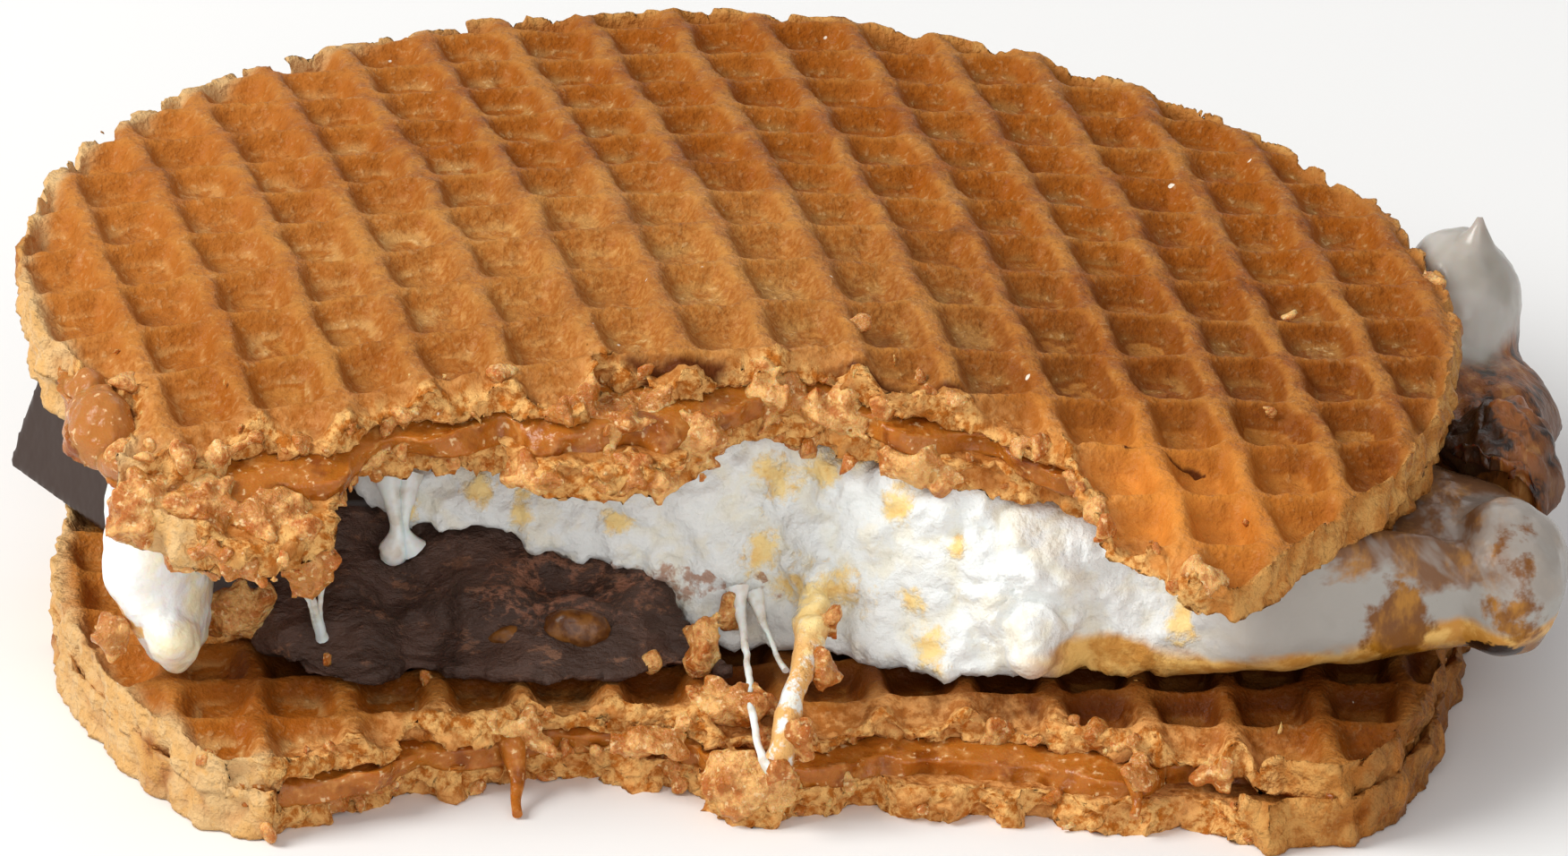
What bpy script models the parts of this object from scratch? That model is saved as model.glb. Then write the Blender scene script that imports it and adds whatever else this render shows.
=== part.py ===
"""Stroopwafel smore: chocolate and toasted marshmallow between round stroopwafels, bitten at the front.

Each stroopwafel is a pair of thin waffle plates glued by caramel. The bottom one lies flat. The top one has
gone soft over the filling, so it is draped: highest left of its middle, lower at the back, right and front.

Sizes are millimetres, and the bottom wafer's disc is centred on the origin while the pieces are made.
settle() turns each finished mesh to metres and moves the whole onto the middle of its footprint.
"""

import math

import bmesh
import bpy
from mathutils import Matrix, Vector, noise

MM = 0.001
COLLECTION = "stroopwafel_smore"
FOOTPRINT_MIDDLE = Vector((1.47, 6.07, 0.0))

# Stroopwafel
RADIUS = 40.0
PLATE = 1.9
CARAMEL = 0.9
GAP = 0.25
WAFER = 2 * PLATE + CARAMEL + 2 * GAP
RIM_STEP = 2.3
RIM_WANDER = 0.45
BITE_STEP = 1.3
BITE_WANDER = 0.35

BOTTOM_RADIUS = RADIUS - 0.3

# Where a rim stands out or in: by how much, about which bearing, over how many degrees
FRONT_SWELL = (3.4, -38.0, 16.0)
BACK_SWELL = (1.35, 85.0, 65.0)
OOZE_NOTCH = (-4.0, 202.2, 6.5)

# Waffle grid
PITCH = 4.9
BROAD_RIDGE = 2.0
THIN_RIDGE = 1.3
PIT_DEPTH = 1.0
PIT_DRAFT = 0.35
RIM_MARGIN = 2.2
CELLS = 20
DRAPE_CELLS = 13
TOP_GRID_TURN = 11.8
TOP_GRID_CROSSING = Vector((8.15, 0.8, 0.0))
BOTTOM_GRID_TURN = 4.0
BOTTOM_GRID_CROSSING = Vector((0.3, 0.6, 0.0))

# Drape of the top wafer: the height of its upper face
TOP_MIDDLE_X = -1.2
CROWN = 24.3
CROWN_X = -8.7 + TOP_MIDDLE_X
RIGHT_DROP, RIGHT_REACH = 5.5, 52.0
LEFT_DROP, LEFT_REACH = 0.7, 29.4
BACK_DROP, BACK_REACH = 4.15, 48.6
FRONT_CURVE = 0.0074
CORNER_EASE = 0.108
LEFT_TWIST = 0.0013

# Bites, as seen from above, from the left rim to the right one.
# The top wafer's are measured from its own middle.
TOP_UPPER_BITE = (
    (-34.6, -19.4), (-30.2, -19.9), (-26.3, -17.3), (-22.8, -18.6), (-19.8, -16.4), (-13.3, -14.8),
    (-9.0, -16.6), (-7.5, -12.6), (-3.2, -14.3), (0.5, -11.9), (5.1, -11.4), (8.8, -13.8),
    (12.9, -14.3), (18.1, -17.4), (20.4, -24.3), (24.4, -28.3), (27.2, -29.0),
)
TOP_CARAMEL_BITE = (
    (-34.0, -18.2), (-30.0, -20.6), (-26.5, -20.9), (-22.6, -19.4), (-19.8, -16.2), (-13.0, -15.3),
    (-10.0, -17.4), (-4.0, -17.2), (-1.5, -14.6), (1.0, -12.4), (5.0, -12.1), (9.0, -14.1),
    (13.0, -15.0), (17.6, -16.6), (22.5, -16.0), (28.0, -15.4), (32.0, -15.4), (36.4, -13.8),
)
TOP_LOWER_BITE = (
    (-34.4, -17.6), (-33.9, -20.2), (-31.2, -22.8), (-26.4, -23.5), (-22.7, -21.6), (-21.8, -16.2),
    (-15.3, -15.1), (-12.6, -15.7), (-10.6, -18.0), (-5.6, -18.4), (-2.9, -17.2), (0.6, -12.5),
    (4.2, -12.1), (8.8, -13.4), (12.2, -15.3), (17.9, -15.9), (22.3, -17.2), (27.0, -16.4), (32.0, -16.2),
    (36.3, -14.9),
)
BOTTOM_UPPER_BITE = (
    (-29.0, -26.0), (-26.4, -26.2), (-24.2, -24.2), (-19.8, -23.0), (-19.0, -20.9), (-14.6, -20.9),
    (-12.6, -19.2), (-8.2, -19.2), (-3.4, -20.2), (-2.4, -21.5), (4.6, -21.8), (6.6, -20.5),
    (13.6, -20.6), (17.2, -22.0), (22.2, -23.5), (27.7, -25.0), (32.2, -27.6),
)
BOTTOM_CARAMEL_BITE = (
    (-28.2, -26.0), (-25.8, -25.4), (-21.8, -23.2), (-19.4, -21.6), (-14.6, -20.2), (-11.5, -18.7),
    (-7.6, -19.2), (-3.4, -20.6), (-2.0, -22.6), (3.0, -22.8), (6.6, -21.4), (13.0, -22.4), (17.0, -24.0),
    (21.0, -24.6), (22.4, -22.6), (28.4, -23.4), (31.4, -27.2),
)
BOTTOM_LOWER_BITE = (
    (-31.2, -24.6), (-29.0, -26.2), (-27.0, -27.0), (-26.0, -25.4), (-22.0, -22.6), (-19.2, -20.8),
    (-17.0, -21.2), (-14.6, -19.4), (-9.8, -18.2), (-6.4, -20.0), (-4.2, -19.8), (-2.9, -21.2),
    (-2.4, -23.9), (0.4, -24.8), (2.8, -23.4), (6.4, -22.2), (8.6, -23.8), (12.4, -23.3), (13.4, -25.0),
    (15.2, -23.8), (18.5, -25.4), (25.0, -25.6), (28.2, -28.7), (29.4, -27.4), (33.2, -27.6),
)

# Caramel squeezed out of the top wafer's left side
OOZE_PLACE = Vector((-35.8, -14.6, 0.9))
OOZE_HALF = Vector((1.7, 2.4, 2.3))

# Chocolate: a tapered slab, bitten off slantwise at the front
CHOCOLATE_WIDTH = 20.6
CHOCOLATE_LENGTH = 62.0
CHOCOLATE_HEIGHT = 5.9
CHOCOLATE_TAPER = 1.3
CHOCOLATE_TURN = 31.3
CHOCOLATE_CORNER = Vector((-42.4, 11.0, WAFER + GAP))
CHOCOLATE_BITE = {
    "line": ((-60.0, -17.7), (40.0, -17.7)),
    "lean": 1.75,
    "low": WAFER,
    "high": WAFER + 8.0,
    "step": 1.6,
    "roughness": 3.0,
    "seed": 3.3,
}
NUT_PLACE = Vector((-10.4, -13.4, 7.4))
NUT_HALF = Vector((2.2, 1.7, 1.3))

# Where the top wafer has lost its lower plate and caramel, the front marshmallow reaches the upper plate
CORNER = (17.5, -14.0)
CORNER_REACH = 3.5

# Marshmallows: middle and half-sizes as seen from above
MARSHMALLOW_LOW = WAFER + GAP
BULGE = 0.38
FLATNESS = 0.55
LUMP = 0.06
LUMPS_PER_BALL = 2.1
FRONT_BALL = {"middle": (10.6, -8.4), "half": (33.8, 13.0), "turn": -2.0, "seed": 1.3}
BACK_BALL = {"middle": (17.0, 13.0), "half": (27.8, 15.0), "turn": -11.0, "seed": 5.1}
LEFT_BALL = {"middle": (-33.3, -12.8), "half": (3.0, 4.6), "turn": -8.0, "seed": 9.7}
FRONT_BITE = {
    "line": (
        (-30.0, -8.0), (-17.0, -11.6), (-8.0, -14.6), (0.0, -13.6), (7.6, -17.0), (15.7, -18.4),
        (24.0, -19.5), (50.0, -40.0),
    ),
    "lean": 0.25,
    "low": 0.0,
    "high": 26.0,
    "step": 2.5,
    "roughness": 1.8,
    "seed": 8.1,
}
DRIP_PLACE = Vector((15.2, -17.4, 7.9))
DRIP_HALF = Vector((1.6, 2.3, 2.2))
FOOT_PLACE = Vector((-33.0, -17.2, 7.5))
FOOT_HALF = Vector((2.0, 2.4, 2.1))
LOBE_PLACE = Vector((39.5, 15.0, 13.4))
LOBE_HALF = Vector((3.6, 5.0, 4.7))

# Lumps in which the marshmallows end at the right: the front one's sags low, the back one's is burnt
SAG_PLACE = Vector((41.8, -12.9, 9.7))
SAG_HALF = Vector((3.4, 5.0, 4.4))
BURNT_PLACE = Vector((41.3, -2.0, 11.2))
BURNT_HALF = Vector((4.0, 5.6, 4.6))

# A strand pulled out of the front marshmallow and over the bottom wafer's edge: x, y, z and radius
STRAND = (
    (3.3, -11.4, 11.2, 1.5), (2.9, -18.4, 8.2, 1.0), (1.9, -22.2, 7.0, 0.8), (1.3, -25.0, 5.0, 0.8),
    (0.9, -25.1, 3.7, 1.0),
)
STRAND_SIDES = 8

# Room kept over the top wafer
OVER = 6.0

WAFER_COLOUR, WAFER_ROUGHNESS = (0.62, 0.31, 0.10), 0.55
CARAMEL_COLOUR, CARAMEL_ROUGHNESS = (0.50, 0.20, 0.045), 0.25
CHOCOLATE_COLOUR, CHOCOLATE_ROUGHNESS = (0.055, 0.030, 0.022), 0.4
MARSHMALLOW_COLOUR, MARSHMALLOW_ROUGHNESS = (0.86, 0.83, 0.76), 0.45


# Helpers


def ease(share):
    """Runs from 0 to 1 with a level start and end."""
    share = min(max(share, 0.0), 1.0)
    return (1 - math.cos(math.pi * share)) / 2


def top_face(x, y):
    """Height of the top wafer's upper face over a place on the table."""
    right = RIGHT_DROP * ease((x - CROWN_X) / RIGHT_REACH)
    left = LEFT_DROP * ease((CROWN_X - x) / LEFT_REACH)
    along = BACK_DROP * ease(y / BACK_REACH) + FRONT_CURVE * min(y, 0.0) ** 2
    twist = LEFT_TWIST * max(CROWN_X - x, 0.0) * y
    return CROWN - right - left - along + CORNER_EASE * right * along + twist


def add_object(name, bm):
    """Makes an object of the bmesh, which is freed."""
    bmesh.ops.recalc_face_normals(bm, faces=bm.faces)
    mesh = bpy.data.meshes.new(name)
    bm.to_mesh(mesh)
    bm.free()
    obj = bpy.data.objects.new(name, mesh)
    bpy.data.collections[COLLECTION].objects.link(obj)
    return obj


def combine(obj, other, operation, solver="EXACT"):
    """Applies a Boolean of the other object to this one, and removes the other."""
    modifier = obj.modifiers.new(operation, "BOOLEAN")
    modifier.operation = operation
    modifier.solver = solver
    modifier.object = other
    graph = bpy.context.evaluated_depsgraph_get()
    mesh = bpy.data.meshes.new_from_object(obj.evaluated_get(graph))
    obj.modifiers.clear()
    old = obj.data
    obj.data = mesh
    bpy.data.meshes.remove(old)
    mesh.name = obj.name
    bpy.data.objects.remove(other)


def grown(obj, name, by):
    """A copy of the object, swollen along its normals, to cut its neighbour clear of it."""
    copy = obj.copy()
    copy.data = obj.data.copy()
    copy.name = name
    bpy.data.collections[COLLECTION].objects.link(copy)
    swell = copy.modifiers.new("swell", "DISPLACE")
    swell.strength = by
    swell.mid_level = 0.0
    return copy


def drop_scraps(obj):
    """Keeps only the largest piece that a cut left. Pieces count as one only where they share an edge."""
    bm = bmesh.new()
    bm.from_mesh(obj.data)
    waiting = set(bm.faces)
    pieces = []
    while waiting:
        border = [waiting.pop()]
        piece = set(border)
        while border:
            near = {face for edge in border.pop().edges for face in edge.link_faces} & waiting
            waiting -= near
            piece |= near
            border.extend(near)
        pieces.append(piece)
    largest = max(pieces, key=len)
    bmesh.ops.delete(bm, geom=[face for face in bm.faces if face not in largest], context="FACES")
    bm.to_mesh(obj.data)
    bm.free()


def paint(obj, colour, roughness):
    material = bpy.data.materials.new(obj.name)
    material.use_nodes = True
    shader = material.node_tree.nodes["Principled BSDF"]
    shader.inputs["Base Color"].default_value = (*colour, 1.0)
    shader.inputs["Roughness"].default_value = roughness
    obj.data.materials.clear()
    obj.data.materials.append(material)


# Wafers


def rim(start, end, radius, swells, seed):
    """Points of a wafer's uneven rim, anticlockwise between two bearings in degrees from +X."""
    count = round(math.radians(end - start) * radius / RIM_STEP)
    points = []
    for index in range(count + 1):
        bearing = start + (end - start) * index / count
        reach = radius
        for swell, swell_at, swell_width in swells:
            reach += swell * math.exp(-(((bearing - swell_at) / swell_width) ** 2))
        reach += RIM_WANDER * noise.noise(Vector((bearing / 6, seed, 0.5)))
        angle = math.radians(bearing)
        points.append((reach * math.cos(angle), reach * math.sin(angle)))
    return points


def ragged(points, seed):
    """The line through the points, broken into short crooked steps."""
    line = []
    for (x0, y0), (x1, y1) in zip(points, points[1:]):
        length = math.hypot(x1 - x0, y1 - y0)
        count = max(1, round(length / BITE_STEP))
        for index in range(count):
            x = x0 + (x1 - x0) * index / count
            y = y0 + (y1 - y0) * index / count
            wander = BITE_WANDER * noise.noise(Vector((x * 1.1, y * 1.1, seed)))
            line.append((x - wander * (y1 - y0) / length, y + wander * (x1 - x0) / length))
    return line


def wafer_outline(bite, radius, swells, seed):
    """A round wafer's outline with its bite."""
    (left_x, left_y), (right_x, right_y) = bite[0], bite[-1]
    start = math.degrees(math.atan2(right_y, right_x))
    end = math.degrees(math.atan2(left_y, left_x)) % 360
    return rim(start, end, radius, swells, seed) + ragged(bite, seed)


def prism(outline, bottom, top):
    """A bmesh of the outline extruded between two heights."""
    bm = bmesh.new()
    face = bm.faces.new([bm.verts.new((x, y, bottom)) for x, y in outline])
    raised = bmesh.ops.extrude_face_region(bm, geom=[face])["geom"]
    for vert in raised:
        if isinstance(vert, bmesh.types.BMVert):
            vert.co.z = top
    return bm


def waffle_sheet(crossing, turn, radius, under_cells):
    """A square waffle plate with its ridges at z = 0, its flat side under them, and pits clear of the rim."""
    bm = bmesh.new()
    place = Matrix.Translation(crossing) @ Matrix.Rotation(math.radians(turn), 4, "Z")
    side = CELLS * PITCH
    half_pitch = PITCH / 2
    bmesh.ops.create_grid(bm, x_segments=2 * CELLS, y_segments=2 * CELLS, size=side / 2)
    ridges = (BROAD_RIDGE, THIN_RIDGE)
    for vert in bm.verts:
        for axis, ridge in enumerate(ridges):
            line = round((vert.co[axis] + side / 2) / half_pitch)
            # An even line opens a ridge and the odd one after it closes it.
            vert.co[axis] += ridge / 2 - half_pitch if line % 2 else -ridge / 2
    pits = []
    for face in bm.faces:
        middle = face.calc_center_median()
        on_disc = (place @ middle).length < radius - RIM_MARGIN
        if on_disc and all(
            (middle[axis] + (side + ridge) / 2) % PITCH > ridge for axis, ridge in enumerate(ridges)
        ):
            pits.append(face)
    bmesh.ops.inset_individual(bm, faces=pits, thickness=PIT_DRAFT, depth=-PIT_DEPTH)
    flat_side = Matrix.Translation((0, 0, -PLATE)) @ Matrix.Rotation(math.pi, 4, "X")
    bmesh.ops.create_grid(bm, x_segments=under_cells, y_segments=under_cells, size=side / 2, matrix=flat_side)
    bmesh.ops.bridge_loops(bm, edges=[edge for edge in bm.edges if edge.is_boundary])
    bmesh.ops.transform(bm, verts=bm.verts, matrix=place)
    return bm


def plain_sheet(thickness, cells):
    """A square slab with its upper face at z = 0, divided so that it can be draped."""
    bm = bmesh.new()
    side = CELLS * PITCH
    bmesh.ops.create_grid(bm, x_segments=cells, y_segments=cells, size=side / 2)
    flat_side = Matrix.Translation((0, 0, -thickness)) @ Matrix.Rotation(math.pi, 4, "X")
    bmesh.ops.create_grid(bm, x_segments=cells, y_segments=cells, size=side / 2, matrix=flat_side)
    bmesh.ops.bridge_loops(bm, edges=[edge for edge in bm.edges if edge.is_boundary])
    return bm


def layer(name, sheet, outline):
    """One layer of a wafer: the sheet cut to the outline."""
    obj = add_object(name, sheet)
    combine(obj, add_object(name + "_outline", prism(outline, -3 * WAFER, WAFER)), "INTERSECT")
    return obj


def triangulated(bm):
    bmesh.ops.triangulate(bm, faces=bm.faces, quad_method="SHORT_EDGE", ngon_method="BEAUTY")


def drape(obj, depth):
    """Moves a layer of the top wafer over its disc, this far under the upper face, bent to the drape."""
    bm = bmesh.new()
    bm.from_mesh(obj.data)
    triangulated(bm)
    for vert in bm.verts:
        vert.co.x += TOP_MIDDLE_X
        vert.co.z += top_face(vert.co.x, vert.co.y) - depth
    bm.to_mesh(obj.data)
    bm.free()


def lift(obj, height):
    obj.data.transform(Matrix.Translation((0, 0, height)))


def build_bottom_wafer():
    upper = layer(
        "bottom_wafer_upper",
        waffle_sheet(BOTTOM_GRID_CROSSING, BOTTOM_GRID_TURN, BOTTOM_RADIUS, 1),
        wafer_outline(BOTTOM_UPPER_BITE, BOTTOM_RADIUS - 0.2, (FRONT_SWELL,), 2.0),
    )
    lift(upper, WAFER)
    caramel = layer(
        "bottom_caramel",
        plain_sheet(CARAMEL, 1),
        wafer_outline(BOTTOM_CARAMEL_BITE, BOTTOM_RADIUS - 0.8, (FRONT_SWELL,), 3.0),
    )
    lift(caramel, PLATE + GAP + CARAMEL)
    lower = layer(
        "bottom_wafer_lower",
        plain_sheet(PLATE, 1),
        wafer_outline(BOTTOM_LOWER_BITE, BOTTOM_RADIUS, (FRONT_SWELL,), 4.0),
    )
    lift(lower, PLATE)
    return upper, caramel, lower


def build_top_wafer():
    upper = layer(
        "top_wafer_upper",
        waffle_sheet(TOP_GRID_CROSSING - Vector((TOP_MIDDLE_X, 0, 0)), TOP_GRID_TURN, RADIUS, DRAPE_CELLS),
        wafer_outline(TOP_UPPER_BITE, RADIUS, (OOZE_NOTCH, BACK_SWELL), 5.0),
    )
    drape(upper, 0.0)
    caramel = layer(
        "top_caramel",
        plain_sheet(CARAMEL, DRAPE_CELLS),
        wafer_outline(TOP_CARAMEL_BITE, RADIUS - 0.9, (BACK_SWELL,), 6.0),
    )
    combine(caramel, ellipsoid("ooze", OOZE_PLACE, OOZE_HALF), "UNION")
    drape(caramel, PLATE + GAP)
    lower = layer(
        "top_wafer_lower",
        plain_sheet(PLATE, DRAPE_CELLS),
        wafer_outline(TOP_LOWER_BITE, RADIUS - 0.6, (OOZE_NOTCH, BACK_SWELL), 7.0),
    )
    drape(lower, PLATE + CARAMEL + 2 * GAP)
    return upper, caramel, lower


# Filling


def ellipsoid(name, place, half):
    bm = bmesh.new()
    form = Matrix.Translation(place) @ Matrix.Diagonal((*half, 1))
    bmesh.ops.create_icosphere(bm, subdivisions=2, radius=1.0, matrix=form)
    return add_object(name, bm)


def height_on(line, x):
    """The y of a line of points, in order of x, straight between them."""
    for (x0, y0), (x1, y1) in zip(line, line[1:]):
        if x <= x1:
            break
    return y0 + (y1 - y0) * (x - x0) / (x1 - x0)


def bite_block(name, line, lean, low, high, step, roughness, seed):
    """A block in front of a rough wall, which stands on the line at the low height and leans back."""
    bm = bmesh.new()
    start, end = line[0][0], line[-1][0]
    columns = round((end - start) / step)
    rows = round((high - low) / step)
    bmesh.ops.create_grid(bm, x_segments=columns, y_segments=rows, size=0.5)
    for vert in bm.verts:
        x = start + (vert.co.x + 0.5) * (end - start)
        z = low + (vert.co.y + 0.5) * (high - low)
        crags = roughness * noise.noise(Vector((x, z, seed)) / (2.2 * step))
        vert.co = (x, height_on(line, x) + lean * (z - low) + crags, z)
    front = bmesh.ops.extrude_face_region(bm, geom=list(bm.faces))["geom"]
    for vert in front:
        if isinstance(vert, bmesh.types.BMVert):
            vert.co.y = -2 * RADIUS
    return add_object(name, bm)


def build_chocolate():
    """The slab, its long left side on the line from the corner that sticks out to the front."""
    bm = bmesh.new()
    bmesh.ops.create_cube(bm, size=1.0)
    for vert in bm.verts:
        taper = CHOCOLATE_TAPER if vert.co.z > 0 else 0.0
        along = (vert.co.y - 0.5) * CHOCOLATE_LENGTH
        across = (vert.co.x + 0.5) * CHOCOLATE_WIDTH
        vert.co.x = across + (taper if vert.co.x < 0 else -taper)
        vert.co.y = along + (taper if vert.co.y < 0 else -taper)
        vert.co.z = (vert.co.z + 0.5) * CHOCOLATE_HEIGHT
    place = Matrix.Translation(CHOCOLATE_CORNER) @ Matrix.Rotation(math.radians(CHOCOLATE_TURN), 4, "Z")
    bmesh.ops.transform(bm, verts=bm.verts, matrix=place)
    slab = add_object("chocolate", bm)
    combine(slab, bite_block("chocolate_bite", **CHOCOLATE_BITE), "DIFFERENCE")
    combine(slab, ellipsoid("nut", NUT_PLACE, NUT_HALF), "UNION")
    return slab


def under_top_wafer(x, y):
    """Height of the underside over the filling. At the right front corner only the upper plate is left."""
    bared = ease((x - CORNER[0]) / CORNER_REACH) * ease((CORNER[1] - y) / CORNER_REACH)
    return top_face(x, y) - PLATE - GAP - (1 - bared) * (WAFER - PLATE)


def pressed_ball(name, middle, half, turn, seed, segments=32, rings=13):
    """A marshmallow pressed flat between the wafers, with bulging sides and soft lumps."""
    bm = bmesh.new()
    bmesh.ops.create_uvsphere(bm, u_segments=segments, v_segments=rings, radius=1.0)
    cos_turn, sin_turn = math.cos(math.radians(turn)), math.sin(math.radians(turn))
    for vert in bm.verts:
        level = vert.co.z
        spread = math.hypot(vert.co.x, vert.co.y)
        widen = spread ** (BULGE - 1) if spread > 1e-4 else 0.0
        lump = 1 + LUMP * noise.noise(vert.co * LUMPS_PER_BALL + Vector((seed, 0, 0)))
        along = vert.co.x * widen * half[0] * lump
        across = vert.co.y * widen * half[1] * lump
        x = middle[0] + along * cos_turn - across * sin_turn
        y = middle[1] + along * sin_turn + across * cos_turn
        share = 0.5 + 0.5 * math.copysign(abs(level) ** FLATNESS, level)
        vert.co = (x, y, MARSHMALLOW_LOW + share * (under_top_wafer(x, y) - MARSHMALLOW_LOW))
    return add_object(name, bm)


def pulled_strand(name, line):
    """A tapering tube through the points of the line."""
    curve = bpy.data.curves.new(name, "CURVE")
    curve.dimensions = "3D"
    curve.bevel_depth = 1.0
    curve.bevel_resolution = STRAND_SIDES // 2 - 2
    curve.use_fill_caps = True
    spline = curve.splines.new("POLY")
    spline.points.add(len(line) - 1)
    for point, (x, y, z, radius) in zip(spline.points, line):
        point.co = (x, y, z, 1.0)
        point.radius = radius
    guide = bpy.data.objects.new(name, curve)
    bm = bmesh.new()
    bm.from_mesh(guide.to_mesh())
    bmesh.ops.remove_doubles(bm, verts=bm.verts, dist=0.01)
    bpy.data.objects.remove(guide)
    return add_object(name, bm)


def top_wafer_room():
    """The space of the whole top wafer and what is over it, to keep the lobe at its rim clear of it."""
    circle = rim(0.0, 355.0, RADIUS + RIM_WANDER + GAP, (BACK_SWELL,), 5.0)
    room = layer("top_wafer_room", plain_sheet(OVER + WAFER + GAP / 2, DRAPE_CELLS), circle)
    drape(room, -OVER)
    return room


def build_marshmallows(chocolate, top_layers):
    front = pressed_ball("marshmallow_front", **FRONT_BALL)
    combine(front, bite_block("front_bite", **FRONT_BITE), "DIFFERENCE", "MANIFOLD")
    combine(front, grown(chocolate, "chocolate_room", 2 * GAP), "DIFFERENCE", "MANIFOLD")
    for layer_object in top_layers:
        combine(front, grown(layer_object, "layer_room", 1.6 * GAP), "DIFFERENCE", "MANIFOLD")
    drop_scraps(front)
    combine(front, ellipsoid("drip", DRIP_PLACE, DRIP_HALF), "UNION", "MANIFOLD")
    combine(front, ellipsoid("sag", SAG_PLACE, SAG_HALF), "UNION", "MANIFOLD")
    combine(front, pulled_strand("strand", STRAND), "UNION", "MANIFOLD")

    back = pressed_ball("marshmallow_back", **BACK_BALL)
    combine(back, ellipsoid("lobe", LOBE_PLACE, LOBE_HALF), "UNION")
    combine(back, ellipsoid("burnt", BURNT_PLACE, BURNT_HALF), "UNION")
    combine(back, top_wafer_room(), "DIFFERENCE")
    combine(back, grown(front, "front_room", 2 * GAP), "DIFFERENCE", "MANIFOLD")
    drop_scraps(back)

    left = pressed_ball("marshmallow_left", segments=16, rings=10, **LEFT_BALL)
    combine(left, ellipsoid("foot", FOOT_PLACE, FOOT_HALF), "UNION")
    combine(left, grown(chocolate, "chocolate_room", 2 * GAP), "DIFFERENCE", "MANIFOLD")
    return front, back, left


# The whole


def settle(obj):
    """Metres, with the middle of the footprint on the origin."""
    obj.data.transform(Matrix.Scale(MM, 4) @ Matrix.Translation(-FOOTPRINT_MIDDLE))


def main():
    for obj in list(bpy.data.objects):
        bpy.data.objects.remove(obj)
    collection = bpy.data.collections.new(COLLECTION)
    bpy.context.scene.collection.children.link(collection)

    bottom_wafer = build_bottom_wafer()
    top_wafer = build_top_wafer()
    chocolate = build_chocolate()
    marshmallows = build_marshmallows(chocolate, top_wafer[1:])

    wafers = (*bottom_wafer, *top_wafer)
    for obj in wafers:
        if "caramel" in obj.name:
            paint(obj, CARAMEL_COLOUR, CARAMEL_ROUGHNESS)
        else:
            paint(obj, WAFER_COLOUR, WAFER_ROUGHNESS)
    paint(chocolate, CHOCOLATE_COLOUR, CHOCOLATE_ROUGHNESS)
    for obj in marshmallows:
        paint(obj, MARSHMALLOW_COLOUR, MARSHMALLOW_ROUGHNESS)
        obj.data.shade_smooth()
    for obj in (*wafers, chocolate, *marshmallows):
        settle(obj)


main()
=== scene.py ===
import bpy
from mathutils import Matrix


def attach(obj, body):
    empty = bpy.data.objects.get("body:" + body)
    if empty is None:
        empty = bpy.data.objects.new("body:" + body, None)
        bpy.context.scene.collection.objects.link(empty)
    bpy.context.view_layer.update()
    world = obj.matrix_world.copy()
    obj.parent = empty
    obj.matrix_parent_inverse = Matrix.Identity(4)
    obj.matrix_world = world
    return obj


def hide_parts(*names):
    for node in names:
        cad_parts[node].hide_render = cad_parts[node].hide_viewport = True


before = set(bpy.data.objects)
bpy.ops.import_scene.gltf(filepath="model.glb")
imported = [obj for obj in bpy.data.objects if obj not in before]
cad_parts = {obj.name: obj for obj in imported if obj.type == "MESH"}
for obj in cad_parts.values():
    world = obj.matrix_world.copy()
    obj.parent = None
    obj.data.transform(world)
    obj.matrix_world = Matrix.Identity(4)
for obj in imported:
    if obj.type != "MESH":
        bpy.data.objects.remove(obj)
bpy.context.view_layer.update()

import math

import bmesh
import bpy
from mathutils import Vector, noise


# --- The studio: a pale table and soft light from the upper left, with the camera looking 25 degrees down.
# Not part of the smore. Its sizes are metres. The smore's own sizes and places are millimetres from the
# middle of the bottom wafer, and its finished meshes count from the middle of the whole footprint instead.
MM = 0.001
FOOTPRINT_MIDDLE = Vector((1.47, 6.07, 0.0))
TABLE_SIZE = 4.0
TABLE_COLOUR = (0.86, 0.86, 0.86, 1.0)
TABLE_ROUGHNESS = 0.8
ROOM_LIGHT = 0.42
LAMPS = (
    # name, place, size, watts, colour
    ("window", (-0.42, -0.10, 0.40), 0.30, 3.2, (1.0, 0.99, 0.96)),
    ("bounce", (0.10, -0.60, 0.26), 0.50, 1.6, (1.0, 0.99, 0.98)),
    ("back_glow", (0.10, 0.50, 0.42), 0.50, 0.6, (1.0, 0.99, 0.98)),
)
CAMERA_RISE = math.radians(25)
CAMERA_DISTANCE = 2.0
SENSOR_WIDTH = 36.0
PICTURE_WIDTH = 0.08804
PICTURE_MIDDLE = (0.001407, 0.011709)  # how far to the right of the wafer's middle, and how far above it

table_mesh = bpy.data.meshes.new("table")
half_table = TABLE_SIZE / 2
corners = [(-half_table, -half_table, 0), (half_table, -half_table, 0)]
corners += [(half_table, half_table, 0), (-half_table, half_table, 0)]
table_mesh.from_pydata(corners, [], [(0, 1, 2, 3)])
table = bpy.data.objects.new("table", table_mesh)
bpy.context.scene.collection.objects.link(table)
table_paint = bpy.data.materials.new("table_white")
table_paint.use_nodes = True
table_paint.node_tree.nodes["Principled BSDF"].inputs["Base Color"].default_value = TABLE_COLOUR
table_paint.node_tree.nodes["Principled BSDF"].inputs["Roughness"].default_value = TABLE_ROUGHNESS
table_mesh.materials.append(table_paint)

room = bpy.data.worlds.new("room")
room.use_nodes = True
room.node_tree.nodes["Background"].inputs["Color"].default_value = (1.0, 1.0, 1.0, 1.0)
room.node_tree.nodes["Background"].inputs["Strength"].default_value = ROOM_LIGHT
bpy.context.scene.world = room

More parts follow.
